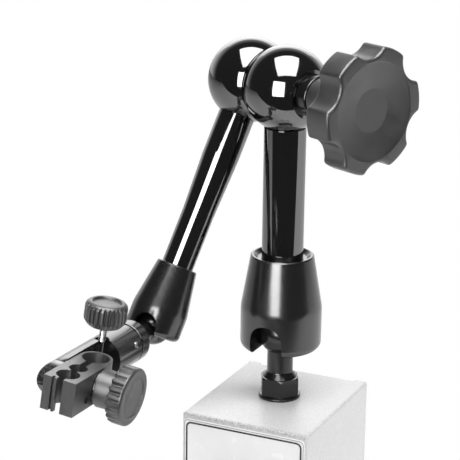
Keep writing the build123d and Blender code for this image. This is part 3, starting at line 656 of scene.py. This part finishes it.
def base_stud():
    """Flanged hexagon and waisted neck."""
    spigot_r, spigot, ball_spigot_r, ball_spigot_end = 4, 10, 3, 1.5
    low = span("base_stud", COLUMN)[0].z + spigot
    flange, neck_r, ball_end = widest("base_stud", COLUMN), 4.9, -6.98
    half_flats, hex_low, hex_top, hex_turn = 6.8, low + 1.2, low + 8.2, 27
    corner = half_flats / math.cos(math.pi / 6)
    turns = [math.radians(hex_turn + 30 + 60 * i) for i in range(6)]
    hexagon = prism("hexagon", [(corner * math.cos(t), corner * math.sin(t)) for t in turns], low, hex_top)
    limit = turned("limit", [(0, low - 1), (corner + 7, low - 1), (corner - 0.7, hex_top), (0, hex_top)])
    combined(hexagon, [limit], "INTERSECT")
    softened(hexagon, 0.3, 3, 25)
    outline = [(0, low - spigot), (spigot_r, low - spigot), (spigot_r, low), (flange - 0.15, low, 0.1)]
    outline += [(flange, hex_low - 0.3, 0.2), (flange - 0.5, hex_low, 0.2), (neck_r + 1.6, hex_low)]
    outline += [(neck_r + 1.6, hex_top, 0.2), (neck_r, hex_top + 1.9, 1.2), (neck_r, ball_end)]
    outline += [(ball_spigot_r, ball_end), (ball_spigot_r, ball_spigot_end), (0, ball_spigot_end)]
    stud = joined(turned("base_stud", outline), hexagon)
    settled(stud, COLUMN, "base", STUD_BLACK, "black_oxide", "base_stud")


def arc(radius, start, end, steps=24):
    """Points (radius, height) on a ball between two heights."""
    first, last = math.asin(start / radius), math.asin(end / radius)
    turns = [first + (last - first) * i / steps for i in range(steps + 1)]
    return [(radius * math.cos(t), radius * math.sin(t)) for t in turns]


def lower_ball():
    low, high = span("lower_ball", COLUMN)
    radius, spigot_r, spigot_end = high.z, 3.05, 1.6
    ball = turned("lower_ball", [(0, low.z)] + arc(radius, low.z, radius * 0.9999, 40) + [(0, radius)])
    cut(ball, rod("hole", spigot_r, low.z - 1, spigot_end))
    settled(ball, COLUMN, "lower_ball", STUD_BLACK, "black_oxide", "lower_ball")


# ---------------- ball sockets
def bell(name, ball_r, bottom, rim, wide, shoulder, rim_r, tube_r, tube_end, seat_r, slot_half, edge):
    """Bell over a ball, open above round the tube, with an upright slot along local -Y."""
    cavity, lip_r = ball_r + 0.1, rim_r - 1.1
    corner, flank, dish, reach = 3.0, 14, 1.3, 30
    dish_r = (tube_r + lip_r) / 2
    seat_end = math.sqrt(cavity**2 - seat_r**2)
    outline = arc(cavity, bottom, seat_end, 16)[::-1]
    outline += [(wide, bottom, corner), (wide, shoulder, flank)]
    outline += [(rim_r, rim - 0.4, 0.3), (rim_r - 0.4, rim, 0.2), (lip_r, rim, 0.2)]
    outline += [(dish_r, rim - dish), (tube_r, rim - dish), (tube_r, tube_end), (seat_r, tube_end)]
    shell = turned(name, outline, 160)
    slot = prism("slot", [(-slot_half, reach), (slot_half, reach),
                          (slot_half, -slot_half, slot_half * 0.998),
                          (-slot_half, -slot_half, slot_half * 0.998)], -reach, 0)
    cut(shell, along_y(slot))
    return softened(cleaned(shell), edge, 3, 50)


def lower_bell():
    low, high = span("lower_socket", COLUMN)
    ball_r = span("lower_ball", COLUMN)[1].z
    shell = bell("lower_bell", ball_r, low.z, high.z, wide=high.x, shoulder=10.6, rim_r=11.8,
                 tube_r=7.77, tube_end=16.0, seat_r=7.05, slot_half=6.4, edge=0.35)
    settled(shell, COLUMN, "column", LOWER_BELL_BLACK, "satin_black", "lower_socket", "lower_socket_pin")


def upper_bell():
    low, high = span("upper_socket", UPPER_SOCKET)
    ball_r = widest("upper_ball", UPPER_SOCKET)
    # a hair narrower than the socket, so that it stays inside the object's box
    wide = widest("upper_socket", UPPER_SOCKET) - 0.12
    shell = bell("upper_bell", ball_r, low.z, high.z, wide=wide, shoulder=7.0, rim_r=7.6,
                 tube_r=5.92, tube_end=12.0, seat_r=5.25, slot_half=4.4, edge=0.3)
    settled(shell, UPPER_SOCKET, "arm", UPPER_BELL_BLACK, "satin_black",
            "upper_socket", "upper_socket_pin")


# ---------------- column and arm
BALL_R = widest("upper_knuckle", ARM_TUBE)
MATE = -span("lower_knuckle", FRONT_BALL)[0].z
BOLT_HOLE = 4.1
HOLLOW_R = 8.4


def column_tube():
    """Tube whose top is saddled onto the front ball."""
    low, high = span("column_tube", COLUMN)
    inner, seat = 4.6, BALL_R + 0.05
    centre = (ELBOW_FRONT - LOWER_BALL).length / MM
    seat_edge = high.x - 0.5
    seat_low, seat_high = math.sqrt(seat**2 - inner**2), math.sqrt(seat**2 - seat_edge**2)
    outline = [(inner, low.z), (high.x, low.z, 0.3), (high.x, centre - seat_high, 0.4)]
    outline += [(r, centre - z) for r, z in arc(seat, seat_high, seat_low, 12)]
    tube = turned("column_tube", outline)
    settled(tube, COLUMN, "column", GLOSS_BLACK, "gloss_black", "column_tube")


def arm_tube():
    """Tube saddled onto the rear ball, tapering towards the head."""
    low, high = span("arm_tube", ARM_TUBE)
    wide, narrow = widest("arm_tube", ARM_TUBE), 5.9
    bore, wide_bore, bore_step = 3.4, 4.2, high.z - 44
    taper_from, taper_to, blend = 30.6, 52.7, 60
    outline = [(bore, bore_step), (bore, high.z), (narrow, high.z), (narrow, taper_to, blend)]
    outline += [(wide, taper_from, blend), (wide, low.z, 0.1), (wide_bore, low.z + 1.0)]
    outline += [(wide_bore, bore_step)]
    tube = turned("arm_tube", outline)
    settled(tube, ARM_TUBE, "arm", GLOSS_BLACK, "gloss_black", "arm_tube")


def neck(radius, length, turn):
    """Round neck from inside a ball, in the plane across the bolt; 0 degrees is straight down."""
    inside = 11
    piece = along_y(rod("neck", radius, inside, length))
    return moved(piece, Matrix.Rotation(-math.radians(turn), 4, "Z"))


def front_ball():
    """Ball on the column, with a flat for the collar and another towards the rear ball."""
    spot_r, floor = 9.0, 4.0
    spot_at = math.sqrt(BALL_R**2 - spot_r**2)
    outline = arc(BALL_R, -MATE, spot_at, 56)
    outline[0] = (*outline[0], 0.5)
    outline += [(BOLT_HOLE, spot_at), (BOLT_HOLE, floor), (HOLLOW_R, floor), (HOLLOW_R, -MATE)]
    ball = turned("front_ball", outline, 192)
    joined(ball, neck(4.58, 27, 0))
    settled(ball, FRONT_BALL, "column", GLOSS_BLACK, "gloss_black", "lower_knuckle")


def rear_ball():
    """Ball on the arm, with a seat behind for the bolt's head."""
    seat_r, seat_at, floor = 6.4, -7.6, -4.5
    outline = arc(BALL_R, -math.sqrt(BALL_R**2 - seat_r**2), MATE, 56)
    outline[-1] = (*outline[-1], 0.5)
    outline += [(HOLLOW_R, MATE), (HOLLOW_R, floor), (BOLT_HOLE, floor), (BOLT_HOLE, seat_at)]
    outline += [(seat_r, seat_at)]
    ball = turned("rear_ball", outline, 192)
    arm_turn = math.degrees(math.atan2(ARM.dot(SWING), -ARM.z))
    joined(ball, neck(4.18, 26, arm_turn))
    settled(ball, REAR_BALL, "arm", GLOSS_BLACK, "gloss_black", "upper_knuckle")


def plain_ring(node, place, body, material, bore, edges):
    """Ring as large as its CAD node, with its lower and upper edge rounded."""
    low, high = span(node, place)
    outline = [(bore, low.z), (high.x, low.z, edges[0]), (high.x, high.z, edges[1]), (bore, high.z)]
    settled(turned(node, outline), place, body, material, "black_oxide", node)


def elbow_rings():
    plain_ring("elbow_washer", FRONT_BALL, "column", BOLT_BLACK, 8.6, (0.1, 0.1))
    plain_ring("thrust_collar", FRONT_BALL, "column", BOLT_BLACK, 4.05, (0.5, 0.7))


def clamp_washer():
    plain_ring("clamp_washer", CLAMP_KNOB, "clamp_washer", HEAD_BLACK, 2.1, (0.2, 0.2))


def tie_bolt():
    """Socket-head bolt through both balls."""
    low, high = span("tie_bolt", FRONT_BALL)
    head_r, shank_r, head, key_half, key_depth = 6.0, 4.0, 4.1, 2.5, 3
    outline = [(0, low.z), (head_r, low.z, 0.6), (head_r, low.z + head, 0.2), (shank_r, low.z + head)]
    outline += [(shank_r, high.z), (0, high.z)]
    bolt = turned("tie_bolt", outline)
    key = arc_points(Vector((0, 0)), key_half / math.cos(math.pi / 6), 0, 2 * math.pi, 6)[:-1]
    cut(bolt, prism("key", key, low.z - 1, low.z + key_depth))
    settled(bolt, FRONT_BALL, "tie_bolt", BOLT_BLACK, "black_oxide", "tie_bolt")


# ---------------- knobs
def arc_points(centre, radius, start, end, steps):
    """Points on a circle between two angles in radians."""
    turns = [start + (end - start) * i / steps for i in range(steps + 1)]
    return [centre + radius * Vector((math.cos(t), math.sin(t))) for t in turns]


MIDDLE = 0.02  # radius of the tiny circle that closes a ringed skin on its axis


def star_outline(radius, lobes, phase, valley_r, valley_at, crest):
    """Disc with round valleys whose edges are rounded, anticlockwise from a lobe."""
    points = []
    for i in range(lobes):
        middle = phase + 2 * math.pi * i / lobes
        towards = Vector((math.cos(middle), math.sin(middle)))
        valley = towards * valley_at
        # the crest's rounding touches the disc from inside and the valley from outside
        reach, gap = radius - crest, valley_r + crest
        half = math.acos((reach**2 + valley_at**2 - gap**2) / (2 * reach * valley_at))
        for side in (-1, 1):
            turn = middle + side * half
            crest_at = reach * Vector((math.cos(turn), math.sin(turn)))
            to_valley = valley - crest_at
            inner = math.atan2(to_valley.y, to_valley.x)
            swing = (inner - turn + math.pi) % (2 * math.pi) - math.pi
            rounding = arc_points(crest_at, crest, turn, turn + swing, 6)
            if side < 0:
                points += rounding
                start = inner + math.pi
                sweep = (math.atan2(-towards.y, -towards.x) - start + math.pi) % (2 * math.pi) - math.pi
                points += arc_points(valley, valley_r, start, start + 2 * sweep, 28)[1:-1]
            else:
                points += rounding[::-1]
        gap_start = middle + half
        gap_end = middle + 2 * math.pi / lobes - half
        points += arc_points(Vector((0, 0)), radius, gap_start, gap_end, 14)[1:-1]
    return points


def star_knob():
    """Lobed knob with a hub, a dished face and a flat middle."""
    upright = placed_at(ELBOW_FRONT, BOLT, UP.cross(BOLT))
    low, high = span("star_knob", upright)
    radius, thickness, edge = 22.6, 11.0, 1.1
    bore, bore_end, hub_foot, hub_r = 5.65, 41.2, 7.1, 7.9
    dish_r, floor_r, floor = 0.77 * radius, 7.8, high.z - 1.7
    front, back = high.z, high.z - thickness
    outline = star_outline(radius, 6, math.radians(36.5), 0.365 * radius, 1.2 * radius, 1.6)
    rings = circles(outline, (bore, low.z), (hub_foot, low.z), (hub_r, back))
    rings += rounded_edge(outline, edge, back, -1)
    rings += rounded_edge(outline, edge, front, 1)
    rings += circles(outline, (dish_r + 0.4, front), (dish_r + 0.1, front - 0.1),
                     (dish_r - 0.2, front - 0.35), (floor_r + 0.3, floor + 0.04), (floor_r - 0.3, floor),
                     (MIDDLE, floor), (MIDDLE, bore_end), (bore, bore_end))
    knob = ringed("star_knob", rings)
    settled(knob, upright, "star_knob", KNOB_PLASTIC, "knob_plastic", "star_knob")


def ribbed_outline(radius, count, depth, land=0.42, steps=16):
    """Outline with round flutes; land is the share of each rib's pitch that stays full."""
    points = []
    for i in range(count * steps):
        phase = (i % steps) / steps
        dip = 0.0
        if phase > land:
            dip = math.sin(math.pi * (phase - land) / (1 - land)) ** 0.7
        turn = 2 * math.pi * i / (count * steps)
        points.append((radius - depth * dip) * Vector((math.cos(turn), math.sin(turn))))
    return points


def fine_knob():
    """Ribbed knob with a tapered foot, a broad rounded shoulder that ends the flutes, and a dish."""
    low, high = (corner.z for corner in span("fine_knob", FINE_KNOB))
    radius = widest("fine_knob", FINE_KNOB)
    outline = ribbed_outline(radius, 26, 0.75)
    bore, bore_end, shoulder, dish_r, steps = 1.32, low + 3.1, 2.0, radius - 2.4, 10
    foot = ((1.6, 0.1), (1.2, 0.5), (0.7, 1.1), (0.3, 1.7), (0.0, 2.3))
    rings = circles(outline, (bore, low), (radius - 1.9, low))
    rings += [(capped(outline, radius - inwards), low + up) for inwards, up in foot]
    for step in range(steps + 1):
        turn = math.pi / 2 * step / steps
        height = high - shoulder * (1 - math.sin(turn))
        rings.append((capped(outline, radius - shoulder * (1 - math.cos(turn))), height))
    rings += circles(outline, (dish_r + 0.2, high), (dish_r, high - 0.15), (dish_r - 0.3, high - 0.75),
                     (MIDDLE, high - 0.8), (MIDDLE, bore_end), (bore, bore_end))
    knob = ringed("fine_knob", rings)
    settled(knob, FINE_KNOB, "fine_knob", KNOB_PLASTIC, "knob_plastic", "fine_knob")


def clamp_knob():
    """Hub and ribbed rim; the ribs stop behind a smooth edge round the shallow dished face."""
    low, high = (corner.z for corner in span("clamp_knob", CLAMP_KNOB))
    radius = widest("clamp_knob", CLAMP_KNOB)
    outline = ribbed_outline(radius, 22, 0.9)
    bore, bore_end, hub_r, rim_low = 3.42, low + 10.6, 6.7, low + 6.2
    rib_end, dish_r, floor = high - 1.0, 0.7 * radius, high - 0.4
    rings = circles(outline, (bore, low), (hub_r - 0.3, low), (hub_r, low + 0.3),
                    (hub_r - 0.3, rim_low - 0.1), (hub_r, rim_low))
    rings += [(inset(outline, 1.0), rim_low), (inset(outline, 0.3), rim_low + 0.3)]
    rings += [(outline, rim_low + 1.0), (outline, rib_end - 0.2)]
    rings += circles(outline, (radius, rib_end + 0.1), (radius, high - 0.9), (radius - 0.1, high - 0.5),
                     (radius - 0.4, high - 0.2), (radius - 0.9, high), (dish_r + 0.15, high),
                     (dish_r, high - 0.1), (dish_r - 0.05, high - 0.3), (dish_r - 0.25, floor),
                     (MIDDLE, floor), (MIDDLE, bore_end), (bore, bore_end))
    knob = ringed("clamp_knob", rings)
    settled(knob, CLAMP_KNOB, "clamp_knob", KNOB_PLASTIC, "knob_plastic", "clamp_knob")


# ---------------- head
STUD_END = span("head_stud", HEAD_FRAME)[1].x
LEVER_LOW, LEVER_HIGH = span("lever_body", HEAD_FRAME)
HEAD_R = LEVER_HIGH.z
FINE_AXIS = HEAD_FRAME.inverted() @ joint_point("fine_knob_turn")
CLAMP_AXIS = HEAD_FRAME.inverted() @ joint_point("clamp_knob_turn")
PIVOT_AXIS = HEAD_FRAME.inverted() @ joint_point("fine_lever_tilt")


def upper_ball():
    low, high = span("upper_ball", HEAD_FRAME)
    radius, flat = -low.x, high.x
    spigot_r, spigot_end = 2.25, -1.6
    ball = turned("upper_ball", [(0, -radius)] + arc(radius, -radius * 0.9999, flat, 40) + [(0, flat)])
    cut(ball, rod("hole", spigot_r, spigot_end, flat + 1))
    settled(along_x(ball), HEAD_FRAME, "upper_ball", HEAD_BLACK, "black_oxide", "upper_ball")


def head_stud():
    """Neck, collar and the tongue that the lever pivots on."""
    spigot_r, spigot_end, neck_r, neck_at = 2.2, -1.5, 3.5, 5.53
    start, end = 17.5, 23.4
    tongue_low, tongue_high = (22.4, -4.7, -3.0), (STUD_END, -0.95, 4.7)
    seat_low, seat_start = 2.4, FINE_AXIS.x - 4
    outline = [(0, spigot_end), (spigot_r, spigot_end), (spigot_r, neck_at), (neck_r, neck_at)]
    outline += [(neck_r, start - 3, 1.5), (HEAD_R - 1.8, start, 0.4), (HEAD_R - 0.9, start, 0.2)]
    outline += [(HEAD_R, start + 0.9, 0.5), (HEAD_R, end, 0.4), (0, end)]
    stud = along_x(turned("head_stud", outline))
    tongue = box("tongue", tongue_low, tongue_high)
    cut(tongue, box("seat", (seat_start, -9, seat_low), (STUD_END + 1, 9, 9)))
    joined(stud, tongue)
    settled(stud, HEAD_FRAME, "head_stud", HEAD_BLACK, "black_oxide", "head_stud")


def lever_body():
    """Round body; beyond a step only its rear half goes on to the clamp and ends in a round."""
    step_at, start, middle, far = 41.4, LEVER_LOW.x - 1, CLAMP_AXIS.x, 20
    thread_r, thread_end, well_r = 1.35, 6.2, 2.6
    head_r, head_seat, shank_r, pin_r, pin_start = 3.7, -3.9, 2.05, 1.22, -6
    outline = [(0, LEVER_LOW.x), (HEAD_R, LEVER_LOW.x, 0.5), (HEAD_R, LEVER_HIGH.x), (0, LEVER_HIGH.x)]
    body = along_x(turned("lever_body", outline, 160))
    plan = [(start, -9), (middle, -9)]
    plan += arc_points(Vector((middle, 0)), HEAD_R, -math.pi / 2, math.pi / 2, 40)
    plan += [(middle, 9), (start, 9)]
    combined(body, [along_y(prism("side", plan, -far, far))], "INTERSECT")
    cut(body, box("front", (step_at, 0, -far), (LEVER_HIGH.x + 1, far, far)))
    softened(cleaned(body), 0.3, 2, 40)
    pocket = box("pocket", (start, -4.85, -3.9), (STUD_END + 0.8, -0.8, 5.2))
    hole = turned("hole", [(0, 1.2), (thread_r, 1.2), (thread_r, thread_end), (well_r, thread_end),
                           (well_r, far), (0, far)])
    cut(body, pocket, shifted(hole, FINE_AXIS.x, FINE_AXIS.y, 0))
    screw = turned("screw", [(0, -far), (head_r, -far), (head_r, head_seat), (shank_r, head_seat),
                             (shank_r, far), (0, far)])
    cut(body, shifted(along_y(screw), CLAMP_AXIS.x, 0, CLAMP_AXIS.z))
    pin = rod("pin", pin_r, pin_start, far)
    cut(body, shifted(along_y(pin), PIVOT_AXIS.x, 0, PIVOT_AXIS.z))
    settled(body, HEAD_FRAME, "fine_lever", HEAD_BLACK, "black_oxide", "lever_body")


def fine_screw():
    """Adjusting screw with rounded threads."""
    low, high = span("fine_screw", FINE_KNOB)
    radius, pitch, depth = widest("fine_screw", FINE_KNOB), 0.5, 0.12
    outline = [(0, low.z)]
    count = int((high.z - low.z) / pitch)
    for i in range(count):
        outline += [(radius - depth, low.z + pitch * i), (radius, low.z + pitch * (i + 0.5))]
    outline += [(radius - depth, high.z), (0, high.z)]
    screw = turned("fine_screw", outline, 48)
    settled(screw, FINE_KNOB, "fine_knob", BRIGHT_STEEL, "bright_steel", "fine_screw")


def fine_tip():
    low, high = span("fine_tip", FINE_KNOB)
    radius = widest("fine_tip", FINE_KNOB)
    # a real pad pin; its black length also stands in for the shade in the hole under the screw, as painted shade
    pin = turned("fine_tip", [(0, low.z), (radius, low.z, 0.3), (radius, high.z, 0.1), (0, high.z)], 48)
    settled(pin, FINE_KNOB, "fine_tip", HEAD_BLACK, "black_oxide", "fine_tip")


def clamp_block():
    """Split block with three upright stem holes, a rounded back and a grooved rear jaw."""
    low, high = span("clamp_block", HEAD_FRAME)
    middle = (low.y + high.y) / 2
    holes = ((58.6, 4.7625), (70.9, 3.175), (78.1, 4.0))
    back_x, back_r = holes[0][0], holes[0][0] - low.x
    slit, edge, screw_r = 1.2, 0.22, 2.1
    groove_low, groove_high, groove_depth = middle - slit - 1.8, middle - slit - 0.9, 1.4
    pit_x, pit_z, pit_r, pit_floor = 74.2, -1.6, 1.2, high.y - 1.4
    beyond = low.z - 1, high.z + 1
    plan = [(back_x, low.y), (high.x, low.y), (high.x, high.y), (back_x, high.y)]
    plan += arc_points(Vector((back_x, middle)), back_r, math.pi / 2, 3 * math.pi / 2, 32)
    block = prism("clamp_block", plan, low.z, high.z)
    for x, radius in holes:
        cut(block, shifted(rod("hole", radius, *beyond, 96), x, middle, 0))
    cut(block, box("slit", (back_x, middle - slit, beyond[0]), (high.x + 1, middle + slit, beyond[1])))
    cut(block, box("groove", (high.x - groove_depth, groove_low, beyond[0]),
                   (high.x + 1, groove_high, beyond[1])))
    softened(cleaned(block, 0.02), edge, 2, 40)
    screw = rod("screw", screw_r, -1, 20, 48)
    cut(block, shifted(along_y(screw), CLAMP_AXIS.x, 0, CLAMP_AXIS.z))
    pit = turned("pit", [(0, pit_floor), (pit_r, pit_floor), (pit_r + 0.05, 20), (0, 20)], 48)
    cut(block, shifted(along_y(pit), pit_x, 0, pit_z))
    settled(block, HEAD_FRAME, "clamp_block", CLAMP_BLACK, "black_oxide", "clamp_block")


def clamp_screw():
    """Slotted screw through the lever and the block."""
    low, high = span("clamp_screw", CLAMP_KNOB)
    head_r, shank_r, head_top, slot_half, slot = 3.5, 2, low.z + 2.2, 0.4, 0.7
    outline = [(0, low.z), (head_r, low.z, 0.3), (head_r, head_top), (shank_r, head_top)]
    outline += [(shank_r, high.z), (0, high.z)]
    screw = turned("clamp_screw", outline, 64)
    cut(screw, box("slot", (-slot_half, -5, low.z - 1), (slot_half, 5, low.z + slot)))
    settled(screw, CLAMP_KNOB, "fine_lever", BRIGHT_STEEL, "bright_steel", "clamp_screw")


for build in (base_body, name_plate, switch_knob, base_stud, lower_ball, lower_bell, upper_bell,
              column_tube, arm_tube, front_ball, rear_ball, elbow_rings, tie_bolt,
              star_knob, fine_knob, clamp_knob, upper_ball, head_stud, lever_body, fine_screw,
              fine_tip, clamp_block, clamp_screw, clamp_washer):
    build()


# ---------------- studio
VIEW_AZIMUTH = 25.0
VIEW_ELEVATION = 17.22
VIEW_ROLL = 0.8
VIEW_DISTANCE = 0.711
VIEW_FIELD = 13.81
VIEW_CENTRE = ELBOW_FRONT + Vector((-0.0216, 0, -0.0566))


def sight(azimuth, elevation):
    """Unit vector from the object towards these angles, in degrees; azimuth 0 is -Y."""
    a, e = math.radians(azimuth), math.radians(elevation)
    return Vector((math.sin(a) * math.cos(e), -math.cos(a) * math.cos(e), math.sin(e)))


def add_camera():
    data = bpy.data.cameras.new("camera")
    data.angle = math.radians(VIEW_FIELD)
    data.clip_start = 0.01
    camera = bpy.data.objects.new("camera", data)
    bpy.context.scene.collection.objects.link(camera)
    back = sight(VIEW_AZIMUTH, VIEW_ELEVATION)
    level = UP.cross(back).normalized()
    top = back.cross(level)
    roll = math.radians(VIEW_ROLL)
    right = level * math.cos(roll) + top * math.sin(roll)
    turn = Matrix((right, back.cross(right), back)).transposed().to_4x4()
    camera.matrix_world = Matrix.Translation(VIEW_CENTRE + back * VIEW_DISTANCE) @ turn
    bpy.context.scene.camera = camera


def aimed(obj, azimuth, elevation, distance):
    """Places an object round the elbow, with its local -Z towards it."""
    away = sight(azimuth, elevation)
    turn = away.to_track_quat("Z", "Y").to_matrix().to_4x4()
    obj.matrix_world = Matrix.Translation(ELBOW_FRONT + away * distance) @ turn


def sheet(name, low, high):
    """Flat rectangle in the local XY plane, in metres."""
    mesh = bmesh.new()
    mesh.faces.new([mesh.verts.new((*corner[:2], 0)) for corner in rectangle(low, high)])
    return new_piece(name, mesh)


def soft_light(name, azimuth, elevation, distance, size, power):
    """Square soft light that lights surfaces without showing in reflections."""
    data = bpy.data.lights.new(name, "AREA")
    data.size = size
    data.energy = power
    light = bpy.data.objects.new(name, data)
    light.visible_glossy = False
    bpy.context.scene.collection.objects.link(light)
    aimed(light, azimuth, elevation, distance)


def reflected_panel(name, azimuth, elevation, distance, width, height, strength):
    """Softbox front that shows in reflections, brighter in its middle."""
    panel = sheet(name, (-width / 2, -height / 2), (width / 2, height / 2))
    material = bpy.data.materials.new(name)
    material.use_nodes = True
    nodes, links = material.node_tree.nodes, material.node_tree.links
    nodes.remove(nodes["Principled BSDF"])
    glow = nodes.new("ShaderNodeEmission")
    place = nodes.new("ShaderNodeTexCoord")
    length = nodes.new("ShaderNodeVectorMath")
    length.operation = "LENGTH"
    values = {"From Max": max(width, height) / 2, "To Min": strength * 1.25, "To Max": strength * 0.85}
    fade = add_node(material.node_tree, "ShaderNodeMapRange", values)
    links.new(place.outputs["Object"], length.inputs[0])
    links.new(length.outputs["Value"], fade.inputs["Value"])
    links.new(fade.outputs["Result"], glow.inputs["Strength"])
    links.new(glow.outputs["Emission"], nodes["Material Output"].inputs["Surface"])
    panel.data.materials.append(material)
    panel.visible_camera = False
    panel.visible_diffuse = False
    panel.visible_shadow = False
    aimed(panel, azimuth, elevation, distance)


def add_floor():
    """Plain pale floor; it ends a little in front of the object."""
    front, far, wide = -0.17, 1.6, 1.6
    floor = sheet("floor", (-wide, front), (wide, far))
    moved(floor, Matrix.Rotation(math.radians(VIEW_AZIMUTH), 4, "Z"))
    floor.location.z = BASE_LOW.z - 0.0002
    finish = Finish("floor", (0.95, 0.95, 0.95), 0.6)
    finish.vary_color(finish.mixed(finish.noise(0.2), (0.93, 0.93, 0.93), (0.96, 0.96, 0.96)))
    floor.data.materials.append(finish.material)
    floor.visible_camera = False


def add_world():
    """White for the camera; in reflections a white backdrop behind the object and a dark room in front."""
    world = bpy.data.worlds.new("studio")
    bpy.context.scene.world = world
    world.use_nodes = True
    nodes, links = world.node_tree.nodes, world.node_tree.links
    room = nodes["Background"]
    place = nodes.new("ShaderNodeTexCoord")
    dot = add_node(world.node_tree, "ShaderNodeVectorMath", {1: -sight(VIEW_AZIMUTH, VIEW_ELEVATION)})
    dot.operation = "DOT_PRODUCT"
    values = {"From Min": 0.30, "From Max": 0.80, "To Min": 0.06, "To Max": 1.3}
    fade = add_node(world.node_tree, "ShaderNodeMapRange", values)
    fade.interpolation_type = "SMOOTHSTEP"
    links.new(place.outputs["Generated"], dot.inputs[0])
    links.new(dot.outputs["Value"], fade.inputs["Value"])
    links.new(fade.outputs["Result"], room.inputs["Strength"])
    room.inputs["Color"].default_value = (1, 1, 1, 1)
    white = nodes.new("ShaderNodeBackground")
    white.inputs["Color"].default_value = (1, 1, 1, 1)
    path = nodes.new("ShaderNodeLightPath")
    mix = nodes.new("ShaderNodeMixShader")
    links.new(path.outputs["Is Camera Ray"], mix.inputs["Fac"])
    links.new(room.outputs["Background"], mix.inputs[1])
    links.new(white.outputs["Background"], mix.inputs[2])
    links.new(mix.outputs["Shader"], nodes["World Output"].inputs["Surface"])


def add_studio():
    bpy.context.scene.view_settings.view_transform = "Standard"
    add_world()
    add_floor()
    soft_light("top_light", VIEW_AZIMUTH, 78, distance=0.9, size=0.7, power=9)
    soft_light("front_light", VIEW_AZIMUTH - 25, 8, distance=1.0, size=0.5, power=4)
    soft_light("right_light", VIEW_AZIMUTH + 82, 28, distance=1.0, size=0.5, power=7)
    reflected_panel("top_panel", VIEW_AZIMUTH, 77, distance=0.8, width=0.75, height=0.95, strength=9)
    reflected_panel("front_panel", VIEW_AZIMUTH - 22, 10, distance=0.9, width=0.5, height=0.62, strength=14)
    reflected_panel("back_panel", VIEW_AZIMUTH + 180, 20, distance=1.0, width=1.0, height=0.5, strength=2.6)


add_camera()
add_studio()
